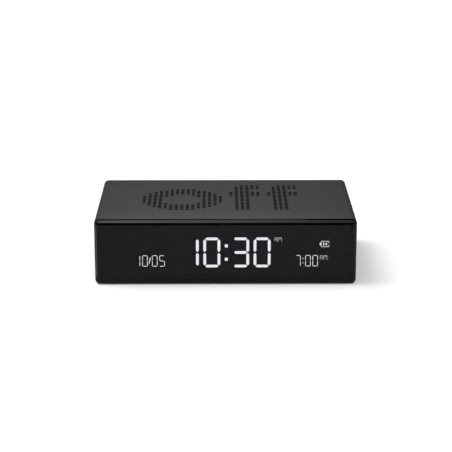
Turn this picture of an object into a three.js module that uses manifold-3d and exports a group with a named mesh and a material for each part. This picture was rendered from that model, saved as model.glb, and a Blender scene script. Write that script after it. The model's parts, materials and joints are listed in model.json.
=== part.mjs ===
// A reversible alarm clock: a flat block with a glossy display front, a case of two perforated
// half shells that spell off on the upper face and on beneath, and its keys at the rear.
// Millimetres, +Z up, front towards -Y, origin at the middle of the face it stands on.
import * as THREE from 'three';
import { mergeGeometries, mergeVertices } from 'three/addons/utils/BufferGeometryUtils.js';
import Module from 'manifold-3d';

const wasm = await Module();
wasm.setup();

// Case
const width = 105;
const depth = 64;
const height = 27;
const wall = 1.6;
const edgeRadius = 2;             // long edges that run from front to rear
const innerEdgeRadius = 0.8;
const seamGap = 0.3;              // line between the two half shells
const partingGap = 0.8;           // shadow line behind the window panel
const lipHeight = 1.2;            // tongue that locates one half shell in the other
const lipShare = 0.3;             // tongue thickness as a share of the wall
const bossWidth = 4.6;
const ribThickness = 1.2;
const ribReach = 2.4;
const ribHeight = 6;

// Clearances
const fitGap = 0.3;               // round a piece that slips into another
const bondGap = 0.1;              // glue, tape or solder line between stacked pieces
const rootOverlap = 0.5;          // how far a boss or rib is sunk into its wall
const overrun = 1;                // how far a cut passes the face that it leaves

// Perforated lettering
const columnShare = 1.027;        // pitch along the case as a share of the pitch from row to row
const slotWidthShare = 0.56;      // of the pitch along the case
const slotLengthShare = 0.62;     // of the pitch from row to row
const letterInset = 14.5;         // shell's front edge to the middle of the front row of slots
const letterRearInset = 10.2;     // shell's rear edge to the middle of the rear row of slots
const letterOffset = -2;          // middle of the lettering, left of the middle of the case
const clothThickness = 0.3;
const clothMargin = 1.2;

// Window and display stack
const windowThickness = 1.1;
const windowInset = 0.15;         // how far the window stays inside the case's outline
const windowEdgeWidth = 2.2;      // rounding of the front edge, measured across the face
const windowEdgeDepth = 1;        // and towards the rear
const gasketThickness = 0.4;
const gasketWidth = 2;
const bezelLip = 0.8;
const bezelWall = 1;
const viewMargin = 1.6;           // how far the bezel's lip covers the display cell
const cellThickness = 1.6;
const guideThickness = 2;
const reflectorThickness = 0.3;
const ledStripWidth = 1.2;
const contactStripHeight = 1.8;
const boardThickness = 1.2;

// Parts on the display board
const chipSide = 12;
const chipThickness = 1.4;
const crystalRadius = 1;
const crystalLength = 6;
const ballRadius = 1.5;
const ballTravel = 2.5;
const tiltWall = 0.7;
const tiltInset = 10;             // case's inner side to the middle of the tilt switch

// Rear panel and keys
const rearRecess = 0.6;
const panelThickness = 1.8;
const keyRadius = 3;
const keyProud = 0.5;
const keyPitch = 10.5;
const keyRowInset = 13;           // panel's left end to the middle of the first key
const keyFlangeWidth = 0.7;
const keyFlangeThickness = 0.8;
const keyTravel = 0.5;
const keyEdge = 0.3;
const switchSide = 6;
const switchHeight = 3;
const plungerRadius = 1.4;
const plungerProud = 0.8;
const plungerDepth = 0.8;

// Selector
const knobWidth = 3.2;
const knobHeight = 2.4;
const knobTravel = 2;             // each way from the middle
const knobStem = 1.2;
const knobCover = 0.5;            // how far the flange still covers the slot at its ends
const selectorShare = 0.456;      // of the way from the last key to the socket

// Charging socket
const socketWidth = 8.9;
const socketHeight = 3.2;
const socketWall = 0.35;
const socketMouthDepth = 5;
const socketSet = 0.2;            // panel's face to the socket's mouth
const tongueWidth = 6.6;
const tongueThickness = 0.7;
const tongueSet = 0.6;
const socketInset = 15;           // panel's right end to the middle of the socket
const chargerGap = 0.9;           // socket to the charger chip beneath it

// Screws
const screwHeadRadius = 1.8;
const screwHeadHeight = 1;
const screwShankRadius = 0.8;
const screwReachShare = 0.8;      // share of the boss that the screw bites into

// Battery and wiring
const batteryLength = 48;
const batteryWidth = 30;
const batteryThickness = 6;
const batteryEdgeRadius = 2.4;
const batterySideGap = 0.4;
const padThickness = 1;
const padInset = 2;
const plugWidth = 8;
const plugHeight = 4;
const plugDepth = 3;
const ribbonWidth = 6;
const ribbonThickness = 0.5;
const ribbonSag = 4;
const ribbonRise = 3;             // middle of the case up to the ribbon's ends
const ribbonInset = 20;           // case's inner right side to the ribbon
const leadRadius = 0.6;
const leadSpacing = 2.5;
const leadReach = 7;
const powerPlugRise = -5;
const powerPlugOffset = -8;

// Speaker
const speakerMargin = 0.94;       // how far the speaker reaches past the letter in front of it
const speakerFlangeWidth = 2.8;
const speakerBackRadius = 9;
const speakerBackHole = 5.4;
const speakerMouthDepth = 1.6;
const speakerDepth = 5;
const speakerSheet = 0.7;
const speakerGasket = 0.8;
const speakerRingWall = 1.2;
const speakerRingHeight = 3;
const coneRimWidth = 0.8;
const coneSheet = 0.35;
const coneTravel = 0.3;           // each way
const coneClearance = 0.2;
const coneDrop = 3;
const coilRadius = 4.2;
const coilSheet = 0.35;
const coilLength = 3.2;
const magnetRadius = 8.5;
const magnetHeight = 4.5;
const magnetGapDepth = 2.6;

// Facets
const roundSides = 24;
const smallSides = 12;
const cornerSteps = 4;

// Letters, one character for each slot place, rows from rear to front
const letterO = [
  '.....#####.....',
  '...#########...',
  '..###########..',
  '.#############.',
  '.#####...#####.',
  '#####.....#####',
  '####.......####',
  '####.......####',
  '####.......####',
  '####.......####',
  '.####.....####.',
  '.#############.',
  '..###########..',
  '...#########...',
  '.....#####.....',
];
const stemRow = '.###..';
const letterF = [
  '..####',
  '.#####',
  '.#####',
  stemRow,
  stemRow,
  '######',
  '######',
  '######',
  ...Array(10).fill(stemRow),
];
const letterN = [
  '###...####...',
  '###.########.',
  '############.',
  '#############',
  '#####....####',
  '####......###',
  ...Array(9).fill('###.......###'),
];
const wordOff = [letterO, letterF, letterF];
const wordOn = [letterO, letterN];

// Places that several pieces share
const insideX = width / 2 - wall;
const insideZ = height / 2 - wall;
const frontY = -depth / 2;
const windowBack = frontY + windowThickness;
const shellFront = windowBack + partingGap;
const shellBack = depth / 2;
const bezelX = insideX - fitGap;
const bezelZ = insideZ - fitGap;
const pocketX = bezelX - bezelWall;
const pocketZ = bezelZ - bezelWall;
const gasketFront = windowBack + bondGap;
const bezelFront = gasketFront + gasketThickness + bondGap;
const cellFront = bezelFront + bezelLip + bondGap;
const guideFront = cellFront + cellThickness + bondGap;
const reflectorFront = guideFront + guideThickness + bondGap;
const displayBoardFront = reflectorFront + reflectorThickness + bondGap;
const displayBoardBack = displayBoardFront + boardThickness;
const panelBack = shellBack - rearRecess;
const panelFront = panelBack - panelThickness;
const flangeBack = panelFront - fitGap;
const flangeFront = flangeBack - keyFlangeThickness;
const plungerTop = flangeFront - bondGap;
const switchTop = plungerTop - plungerProud;
const keyBoardBack = switchTop - switchHeight - bondGap;
const keyBoardFront = keyBoardBack - boardThickness;
const keyBoardZ = insideZ - bondGap - clothThickness - fitGap;
const bossFront = keyBoardBack + fitGap;
const bossBack = panelFront - fitGap;
const screwX = insideX - bossWidth / 2;
const screwZ = insideZ - bossWidth / 2;
const headSeat = panelBack - bondGap - screwHeadHeight;
const screwTip = bossBack - (bossBack - bossFront) * screwReachShare;
const firstKeyX = -bezelX + keyRowInset;
const keyNames = ['mode', 'set', 'minus', 'plus'];
const lastKeyX = firstKeyX + keyPitch * (keyNames.length - 1);
const socketX = bezelX - socketInset;
const selectorX = lastKeyX + (socketX - lastKeyX) * selectorShare;
const ribbonX = insideX - ribbonInset;
const frontRowY = shellFront + letterInset;
const rearRowY = shellBack - letterRearInset;
const rowPitch = (rearRowY - frontRowY) / (letterF.length - 1);
const columnPitch = rowPitch * columnShare;
const slotWidth = columnPitch * slotWidthShare;
const slotLength = rowPitch * slotLengthShare;

function finish(color, roughness, metalness) {
  return new THREE.MeshStandardMaterial({ color, roughness, metalness });
}

const materials = {
  satinShell: finish('#484848', 0.45, 0.1),
  glossPanel: finish('#141415', 0.08, 0),
  mattBlack: finish('#1c1c1d', 0.6, 0),
  glass: finish('#0d0e12', 0.1, 0),
  clearAcrylic: finish('#e6eef0', 0.15, 0),
  whiteFilm: finish('#f2f2f0', 0.5, 0),
  softRubber: finish('#2a2a2c', 0.85, 0),
  circuitBoard: finish('#1d5a34', 0.5, 0),
  chipResin: finish('#18181a', 0.55, 0),
  tinPlate: finish('#c3c5c8', 0.3, 0.9),
  nylon: finish('#dedbd0', 0.5, 0),
  steel: finish('#8f9296', 0.35, 1),
  batteryFoil: finish('#aeb4ba', 0.35, 0.8),
  conePaper: finish('#232325', 0.9, 0),
  ferrite: finish('#3a3a3d', 0.6, 0.3),
  redInsulation: finish('#b3201f', 0.45, 0),
  blackInsulation: finish('#161617', 0.45, 0),
  greyInsulation: finish('#8d8f92', 0.5, 0),
};

// Shape helpers
function roundedRect(wide, high, radius) {
  const x = wide / 2;
  const y = high / 2;
  const r = Math.min(radius, x, y);
  const quarter = Math.PI / 2;
  const shape = new THREE.Shape();
  shape.absarc(x - r, y - r, r, 0, quarter);
  shape.absarc(r - x, y - r, r, quarter, 2 * quarter);
  shape.absarc(r - x, r - y, r, 2 * quarter, 3 * quarter);
  shape.absarc(x - r, r - y, r, 3 * quarter, 4 * quarter);
  return shape;
}

const axisX = new THREE.Vector3(1, 0, 0);
const axisY = new THREE.Vector3(0, 1, 0);
const axisZ = new THREE.Vector3(0, 0, 1);
const shapeAcrossY = new THREE.Matrix4().makeBasis(axisX, axisZ, axisY.clone().negate());
const shapeAcrossX = new THREE.Matrix4().makeBasis(axisY, axisZ, axisX);

// A shape drawn in X and Z, filled from y = low to y = high
function plateY(shape, low, high) {
  const options = { depth: high - low, bevelEnabled: false, curveSegments: cornerSteps };
  return new THREE.ExtrudeGeometry(shape, options).applyMatrix4(shapeAcrossY).translate(0, high, 0);
}

// A shape drawn in Y and Z, filled from x = low to x = high
function plateX(shape, low, high, curveSegments = cornerSteps) {
  const options = { depth: high - low, bevelEnabled: false, curveSegments };
  return new THREE.ExtrudeGeometry(shape, options).applyMatrix4(shapeAcrossX).translate(low, 0, 0);
}

function block([x0, x1], [y0, y1], [z0, z1]) {
  const box = new THREE.BoxGeometry(x1 - x0, y1 - y0, z1 - z0);
  return box.translate((x0 + x1) / 2, (y0 + y1) / 2, (z0 + z1) / 2);
}

function rodY(x, z, radius, low, high, sides = smallSides) {
  const rod = new THREE.CylinderGeometry(radius, radius, high - low, sides);
  return rod.translate(x, (low + high) / 2, z);
}

// A closed outline of [radius, z] points, turned about the Z axis
function turned(outline, sides = roundSides) {
  const points = outline.map(([radius, z]) => new THREE.Vector2(radius, z));
  return new THREE.LatheGeometry(points, sides).applyMatrix4(new THREE.Matrix4().makeRotationX(Math.PI / 2));
}

function solid(geometry) {
  if (geometry instanceof wasm.Manifold) return geometry;
  const bare = geometry.clone();
  bare.deleteAttribute('normal');
  bare.deleteAttribute('uv');
  const welded = mergeVertices(bare);
  const vertProperties = new Float32Array(welded.attributes.position.array);
  const triVerts = new Uint32Array(welded.index.array);
  return new wasm.Manifold(new wasm.Mesh({ numProp: 3, vertProperties, triVerts }));
}

function join(first, ...others) {
  return others.reduce((whole, other) => whole.add(solid(other)), solid(first));
}

function cut(first, ...others) {
  return others.reduce((whole, other) => whole.subtract(solid(other)), solid(first));
}

function toGeometry(shape) {
  if (!(shape instanceof wasm.Manifold)) return shape;
  const { vertProperties, triVerts, numProp } = shape.getMesh();
  const geometry = new THREE.BufferGeometry();
  geometry.setAttribute('position', new THREE.BufferAttribute(vertProperties, numProp));
  geometry.setIndex(new THREE.BufferAttribute(triVerts, 1));
  geometry.computeVertexNormals();
  return geometry;
}

function piece(name, shape, material, x = 0, y = 0, z = 0) {
  const mesh = new THREE.Mesh(toGeometry(shape), material);
  mesh.name = name;
  mesh.position.set(x, y, z);
  return mesh;
}

function assembly(...members) {
  const group = new THREE.Group();
  group.add(...members);
  return group;
}

// Slot places of a word, with rows counted from the front one
function slotPlaces(word) {
  const places = [];
  const columns = word.reduce((sum, letter) => sum + letter[0].length + 1, -1);
  let start = 0;
  for (const letter of word) {
    letter.forEach((line, index) => {
      const y = frontRowY + (letter.length - 1 - index) * rowPitch;
      for (let column = 0; column < line.length; column += 1) {
        const x = letterOffset + (start + column - (columns - 1) / 2) * columnPitch;
        if (line[column] === '#') places.push([x, y]);
      }
    });
    start += letter[0].length + 1;
  }
  return places;
}

function slotCutters(word) {
  const low = insideZ - overrun;
  const high = height / 2 + overrun;
  const cutters = slotPlaces(word).map(([x, y]) =>
    block([x - slotWidth / 2, x + slotWidth / 2], [y - slotLength / 2, y + slotLength / 2], [low, high]),
  );
  return mergeGeometries(cutters);
}

// Middle of the first letter, which the speaker sits behind
const letterColumns = letterO[0].length;
const wordColumns = wordOff.reduce((sum, letter) => sum + letter[0].length + 1, -1);
const speakerX = letterOffset + ((letterColumns - wordColumns) / 2) * columnPitch;
const speakerY = frontRowY + ((letterO.length - 1) / 2) * rowPitch;
const speakerRadius = (letterColumns / 2) * columnPitch + speakerMargin;
const speakerMouthRadius = speakerRadius - speakerFlangeWidth;
const ringInner = speakerRadius + fitGap;
const ringOuter = ringInner + speakerRingWall;

// One screw boss and two board stops on one side of a half shell; side is 1 or -1
function sideFittings(side) {
  const spanX = (reach) => [side * (insideX - reach), side * (insideX + rootOverlap)].sort((a, b) => a - b);
  const stopZ = [insideZ - ribHeight, insideZ + rootOverlap];
  const boss = block(spanX(bossWidth), [bossFront, bossBack], [insideZ - bossWidth, insideZ + rootOverlap]);
  const displayStop = displayBoardBack + fitGap;
  const keyStop = keyBoardFront - fitGap;
  return [
    cut(boss, rodY(side * screwX, screwZ, screwShankRadius + fitGap, screwTip - fitGap, bossBack + overrun)),
    block(spanX(ribReach), [displayStop, displayStop + ribThickness], stopZ),
    block(spanX(ribReach), [keyStop - ribThickness, keyStop], stopZ),
  ];
}

function speakerRing() {
  const low = insideZ - speakerRingHeight;
  const high = insideZ + rootOverlap;
  return turned([[ringInner, low], [ringOuter, low], [ringOuter, high], [ringInner, high], [ringInner, low]])
    .translate(speakerX, speakerY, 0);
}

// The upper half shell, about the middle of the case. The lower one is the same moulding,
// turned over about the Y axis, because the left tongue then meets the right rebate.
function halfShell(word, extras) {
  const outside = plateY(roundedRect(width, height, edgeRadius), shellFront, shellBack);
  const inside = plateY(
    roundedRect(2 * insideX, 2 * insideZ, innerEdgeRadius), shellFront - overrun, shellBack + overrun);
  const beneath = block([-width, width], [-depth, depth], [-height, seamGap / 2]);
  const lipThickness = wall * lipShare;
  const lip = block(
    [-insideX - lipThickness, -insideX], [shellFront, shellBack], [-lipHeight, seamGap / 2 + rootOverlap]);
  const rebate = block(
    [insideX - overrun, insideX + lipThickness + fitGap],
    [shellFront - overrun, shellBack + overrun],
    [-overrun, lipHeight + fitGap]);
  const tube = join(cut(outside, inside, beneath, rebate), lip);
  const fitted = join(tube, ...sideFittings(1), ...sideFittings(-1), ...extras);
  return cut(fitted, slotCutters(word));
}

function caseShells() {
  const upper = piece('top_shell', halfShell(wordOff, [speakerRing()]), materials.satinShell);
  const lower = piece('bottom_shell', halfShell(wordOn, []), materials.satinShell);
  lower.rotation.y = Math.PI;
  return assembly(upper, lower);
}

function grilleCloths() {
  const top = insideZ - bondGap;
  const low = top - clothThickness;
  const rowsF = letterF.length - 1;
  const rowsO = letterO.length - 1;
  const spanY = (rows) => [
    frontRowY - slotLength / 2 - clothMargin, frontRowY + rows * rowPitch + slotLength / 2 + clothMargin];
  const wordReach = (wordColumns / 2) * columnPitch + clothMargin;
  const right = letterOffset + wordReach;
  const left = speakerX + ringOuter + fitGap;
  const disc = turned([[0, low], [speakerRadius, low], [speakerRadius, top], [0, top]]);
  const lower = piece(
    'bottom_cloth',
    block([letterOffset - wordReach, right], spanY(rowsO), [low, top]), materials.conePaper);
  lower.rotation.y = Math.PI;
  return assembly(
    piece('speaker_cloth', disc, materials.conePaper, speakerX, speakerY),
    piece('top_cloth', block([left, right], spanY(rowsF), [low, top]), materials.conePaper),
    lower);
}

// A slab with its front edge rounded, as stacked outlines joined by walls
function windowPanel() {
  const edgeDepth = Math.min(windowEdgeDepth, windowThickness);
  const rings = [{ inset: windowInset, y: windowThickness }];
  for (let step = 0; step <= cornerSteps; step += 1) {
    const angle = ((Math.PI / 2) * step) / cornerSteps;
    rings.push({
      inset: windowInset + windowEdgeWidth * (1 - Math.cos(angle)), y: edgeDepth * (1 - Math.sin(angle)) });
  }
  const outlines = rings.map(({ inset }) =>
    roundedRect(width - 2 * inset, height - 2 * inset, Math.max(edgeRadius - inset, bondGap))
      .getPoints(cornerSteps).slice(0, -1));
  const count = outlines[0].length;
  const points = outlines.flatMap((outline, k) => outline.flatMap(({ x, y }) => [x, rings[k].y, y]));
  const faces = [];
  for (let k = 0; k < outlines.length - 1; k += 1) {
    for (let i = 0; i < count; i += 1) {
      const next = (i + 1) % count;
      const [a, b, c, d] = [k * count + i, k * count + next, (k + 1) * count + next, (k + 1) * count + i];
      faces.push(a, b, c, a, c, d);
    }
  }
  const last = (outlines.length - 1) * count;
  for (let i = 1; i < count - 1; i += 1) {
    faces.push(0, i + 1, i, last, last + i, last + i + 1);
  }
  const slab = new THREE.BufferGeometry();
  slab.setAttribute('position', new THREE.Float32BufferAttribute(points, 3));
  slab.setIndex(faces);
  return slab;
}

function displayStack() {
  const viewX = pocketX - viewMargin;
  const viewZ = pocketZ - viewMargin;
  const ring = (outX, outZ, inX, inZ, low, high) =>
    cut(block([-outX, outX], [low, high], [-outZ, outZ]),
      block([-inX, inX], [low - overrun, high + overrun], [-inZ, inZ]));
  const gasketBack = gasketFront + gasketThickness;
  const bezelBack = displayBoardFront - bondGap;
  const gasket = ring(bezelX, bezelZ, bezelX - gasketWidth, bezelZ - gasketWidth, gasketFront, gasketBack);
  const bezel = join(
    ring(bezelX, bezelZ, pocketX, pocketZ, bezelFront, bezelBack),
    ring(pocketX + rootOverlap, pocketZ + rootOverlap, viewX, viewZ, bezelFront, bezelFront + bezelLip));
  const cellX = pocketX - fitGap;
  const cellZ = pocketZ - fitGap;
  const cellBack = cellFront + cellThickness;
  const guideLeft = -cellX + ledStripWidth + fitGap;
  const stripTop = -cellZ + contactStripHeight;
  const guideZ = [stripTop + fitGap, cellZ];
  const guideY = [guideFront, guideFront + guideThickness];
  return assembly(
    piece('front_window', windowPanel(), materials.glossPanel, 0, frontY, 0),
    piece('window_gasket', gasket, materials.softRubber),
    piece('front_bezel', bezel, materials.mattBlack),
    piece('display_cell', block([-cellX, cellX], [cellFront, cellBack], [-cellZ, cellZ]), materials.glass),
    piece('light_guide', block([guideLeft, cellX], guideY, guideZ), materials.clearAcrylic),
    piece('backlight_strip', block([-cellX, -cellX + ledStripWidth], guideY, guideZ), materials.whiteFilm),
    piece('reflector_sheet', block(
      [-cellX, cellX], [reflectorFront, reflectorFront + reflectorThickness], guideZ), materials.whiteFilm),
    piece('contact_strip', block(
      [-cellX, cellX], [guideFront, displayBoardFront - bondGap], [-cellZ, stripTop]), materials.softRubber),
    piece('display_board', block(
      [-bezelX, bezelX], [displayBoardFront, displayBoardBack], [-bezelZ, bezelZ]), materials.circuitBoard));
}

// A ball in a cup: it rolls to whichever end is lower and so tells which way up the clock lies
function tiltSwitch() {
  const bore = ballRadius + fitGap;
  const outer = bore + tiltWall;
  const cavity = 2 * ballRadius + ballTravel + 2 * bondGap;
  const rim = cavity / 2;
  const floor = -rim - tiltWall;
  const cup = [[0, floor], [outer, floor], [outer, rim], [bore, rim], [bore, -rim], [0, -rim]];
  const lid = [[0, rim + bondGap], [outer, rim + bondGap]];
  const lidTop = rim + bondGap + tiltWall;
  const group = assembly(
    piece('tilt_switch_cup', turned(cup, smallSides), materials.tinPlate),
    piece('tilt_switch_cap', turned([...lid, [outer, lidTop], [0, lidTop]], smallSides), materials.nylon),
    piece('tilt_ball', new THREE.SphereGeometry(ballRadius, smallSides, smallSides / 2),
      materials.steel, 0, 0, -rim + bondGap + ballRadius));
  group.position.set(-insideX + tiltInset, displayBoardBack + bondGap + outer, 0);
  return group;
}

function displayBoardParts() {
  const seat = displayBoardBack + bondGap;
  const chip = block([-chipSide / 2, chipSide / 2], [seat, seat + chipThickness], [-chipSide / 2, chipSide / 2]);
  const crystal = new THREE.CylinderGeometry(crystalRadius, crystalRadius, crystalLength, smallSides)
    .rotateZ(Math.PI / 2);
  return assembly(
    piece('controller_chip', chip, materials.chipResin),
    piece('crystal_can', crystal, materials.tinPlate, chipSide + crystalLength / 2, seat + crystalRadius),
    piece('display_plug', plugBody(seat, seat + plugDepth), materials.nylon, ribbonX, 0, ribbonRise),
    tiltSwitch());
}

function plugBody(low, high) {
  return block([-plugWidth / 2, plugWidth / 2], [low, high], [-plugHeight / 2, plugHeight / 2]);
}

// A flat cable that hangs in one arc between the two boards
function boardRibbon() {
  const low = displayBoardBack + bondGap + plugDepth + fitGap;
  const high = keyBoardFront - bondGap - plugDepth - fitGap;
  const half = (high - low) / 2;
  const bend = (half * half + ribbonSag * ribbonSag) / (2 * ribbonSag);
  const lean = Math.asin(half / bend);
  const down = -Math.PI / 2;
  const band = new THREE.Shape();
  band.absarc(0, 0, bend + ribbonThickness / 2, down - lean, down + lean, false);
  band.absarc(0, 0, bend - ribbonThickness / 2, down + lean, down - lean, true);
  const strip = plateX(band, -ribbonWidth / 2, ribbonWidth / 2, smallSides);
  const middle = (low + high) / 2;
  return piece('board_ribbon', strip, materials.greyInsulation, ribbonX, middle, ribbonRise + bend - ribbonSag);
}

// A wire from one place to another, leaving and arriving square to what it meets
function wire(name, from, leaving, to, arriving, radius, material) {
  const path = new THREE.CubicBezierCurve3(
    from, from.clone().addScaledVector(leaving, leadReach), to.clone().addScaledVector(arriving, -leadReach), to);
  const section = new THREE.Shape();
  section.absarc(0, 0, radius, 0, 2 * Math.PI);
  const options = { steps: smallSides, extrudePath: path, curveSegments: cornerSteps };
  return piece(name, new THREE.ExtrudeGeometry(section, options), material);
}

function keyBoardParts() {
  const seat = keyBoardFront - bondGap;
  const powerPlug = plugBody(seat - plugDepth, seat);
  const backSeat = keyBoardBack + bondGap;
  const side = chipSide / 4;
  const charger = block([-side, side], [backSeat, backSeat + chipThickness], [-side, side]);
  const board = block([-bezelX, bezelX], [keyBoardFront, keyBoardBack], [-keyBoardZ, keyBoardZ]);
  return assembly(
    piece('key_board', board, materials.circuitBoard),
    piece('key_plug', plugBody(seat - plugDepth, seat), materials.nylon, ribbonX, 0, ribbonRise),
    piece('power_plug', powerPlug, materials.nylon, powerPlugOffset, 0, powerPlugRise),
    piece('charger_chip', charger, materials.chipResin, socketX, 0, -socketHeight / 2 - chargerGap - side));
}

// One key: its cap and plunger travel together, and the switch body stays on the board
function key(name, x) {
  const faceY = panelBack + keyProud;
  const flange = keyRadius + keyFlangeWidth;
  const crown = new THREE.CylinderGeometry(keyRadius - keyEdge, keyRadius, keyEdge, roundSides)
    .translate(0, faceY - keyEdge / 2, 0);
  const stem = rodY(0, 0, keyRadius, flangeBack - rootOverlap, faceY - keyEdge, roundSides);
  const cap = join(stem, crown, rodY(0, 0, flange, flangeFront, flangeBack, roundSides));
  const half = switchSide / 2;
  const boreDepth = plungerDepth + keyTravel + bondGap;
  const body = cut(
    block([-half, half], [keyBoardBack + bondGap, switchTop], [-half, half]),
    rodY(0, 0, plungerRadius + fitGap, switchTop - boreDepth, switchTop + overrun));
  const plunger = rodY(0, 0, plungerRadius, switchTop - plungerDepth, plungerTop);
  const group = assembly(
    piece('button_' + name, cap, materials.mattBlack),
    piece('key_plunger_' + name, plunger, materials.nylon),
    piece('key_switch_' + name, body, materials.chipResin));
  group.position.x = x;
  return group;
}

function selector() {
  const slotHalf = knobWidth / 2 + knobTravel + fitGap;
  const flangeX = slotHalf + knobTravel + knobCover;
  const flangeZ = knobHeight / 2 + fitGap + knobCover;
  const bodyX = flangeX;
  const stemDepth = plungerProud + bondGap + plungerDepth;
  const grooveX = knobStem / 2 + knobTravel + fitGap;
  const grooveZ = knobStem / 2 + fitGap;
  const knob = join(
    block([-knobWidth / 2, knobWidth / 2], [flangeBack - rootOverlap, panelBack + keyProud],
      [-knobHeight / 2, knobHeight / 2]),
    block([-flangeX, flangeX], [flangeFront, flangeBack], [-flangeZ, flangeZ]),
    block([-knobStem / 2, knobStem / 2], [flangeFront - stemDepth, flangeFront + rootOverlap],
      [-knobStem / 2, knobStem / 2]));
  const body = cut(
    block([-bodyX, bodyX], [keyBoardBack + bondGap, switchTop], [-flangeZ, flangeZ]),
    block([-grooveX, grooveX], [switchTop - plungerDepth - fitGap, switchTop + overrun], [-grooveZ, grooveZ]));
  const group = assembly(
    piece('selector_knob', knob, materials.mattBlack),
    piece('selector_switch', body, materials.tinPlate));
  group.position.x = selectorX;
  return group;
}

function socketOutline(grow) {
  return roundedRect(socketWidth + 2 * grow, socketHeight + 2 * grow, socketHeight / 2 + grow);
}

function chargingSocket() {
  const mouth = panelBack - socketSet;
  const floor = mouth - socketMouthDepth;
  const shell = cut(
    plateY(socketOutline(0), keyBoardBack + bondGap, mouth),
    plateY(socketOutline(-socketWall), floor, mouth + overrun));
  const tongue = block([-tongueWidth / 2, tongueWidth / 2], [floor - rootOverlap, mouth - tongueSet],
    [-tongueThickness / 2, tongueThickness / 2]);
  return piece('usb_socket', join(shell, tongue), materials.tinPlate, socketX);
}

function rearPanel() {
  const low = panelFront - overrun;
  const high = panelBack + overrun;
  const slotX = knobWidth / 2 + knobTravel + fitGap;
  const slotZ = knobHeight / 2 + fitGap;
  const openings = keyNames.map((name, i) =>
    rodY(firstKeyX + i * keyPitch, 0, keyRadius + fitGap, low, high, roundSides));
  openings.push(block([selectorX - slotX, selectorX + slotX], [low, high], [-slotZ, slotZ]));
  openings.push(plateY(socketOutline(fitGap), low, high).translate(socketX, 0, 0));
  for (const x of [-screwX, screwX]) {
    for (const z of [-screwZ, screwZ]) {
      openings.push(rodY(x, z, screwShankRadius + fitGap, low, high));
      openings.push(rodY(x, z, screwHeadRadius + fitGap, headSeat - bondGap, high));
    }
  }
  const plate = plateY(roundedRect(2 * bezelX, 2 * bezelZ, innerEdgeRadius), panelFront, panelBack);
  return piece('rear_panel', cut(plate, ...openings), materials.mattBlack);
}

function panelScrew(name, x, z) {
  const screw = join(
    rodY(0, 0, screwHeadRadius, headSeat, headSeat + screwHeadHeight),
    rodY(0, 0, screwShankRadius, screwTip, headSeat + screwHeadHeight / 2));
  return piece(name, screw, materials.steel, x, 0, z);
}

function rearEnd() {
  return assembly(
    rearPanel(),
    keyBoardParts(),
    ...keyNames.map((name, i) => key(name, firstKeyX + i * keyPitch)),
    selector(),
    chargingSocket(),
    panelScrew('panel_screw_1', -screwX, screwZ),
    panelScrew('panel_screw_2', screwX, screwZ),
    panelScrew('panel_screw_3', -screwX, -screwZ),
    panelScrew('panel_screw_4', screwX, -screwZ));
}

function batteryPack() {
  const padLow = -insideZ + bondGap + clothThickness + bondGap;
  const cellLow = padLow + padThickness + bondGap;
  const centre = new THREE.Vector3(
    insideX - batterySideGap - batteryLength / 2,
    (displayBoardBack + keyBoardFront) / 2,
    cellLow + batteryThickness / 2);
  const pouch = plateX(
    roundedRect(batteryWidth, batteryThickness, batteryEdgeRadius), -batteryLength / 2, batteryLength / 2);
  const padX = batteryLength / 2 - padInset;
  const padY = batteryWidth / 2 - padInset;
  const pad = block([-padX, padX], [-padY, padY], [padLow, padLow + padThickness]);
  const lead = (name, order, material) => {
    const from = new THREE.Vector3(
      centre.x - batteryLength / 2 - fitGap, centre.y + batteryWidth / 4 + order * leadSpacing / 2, centre.z);
    const to = new THREE.Vector3(
      powerPlugOffset + order * leadSpacing / 2, keyBoardFront - bondGap - plugDepth - fitGap, powerPlugRise);
    return wire(name, from, axisX.clone().negate(), to, axisY, leadRadius, material);
  };
  return assembly(
    piece('battery_pack', pouch, materials.batteryFoil, centre.x, centre.y, centre.z),
    piece('battery_pad', pad, materials.softRubber, centre.x, centre.y),
    lead('battery_lead_red', 1, materials.redInsulation),
    lead('battery_lead_black', -1, materials.blackInsulation));
}

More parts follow.
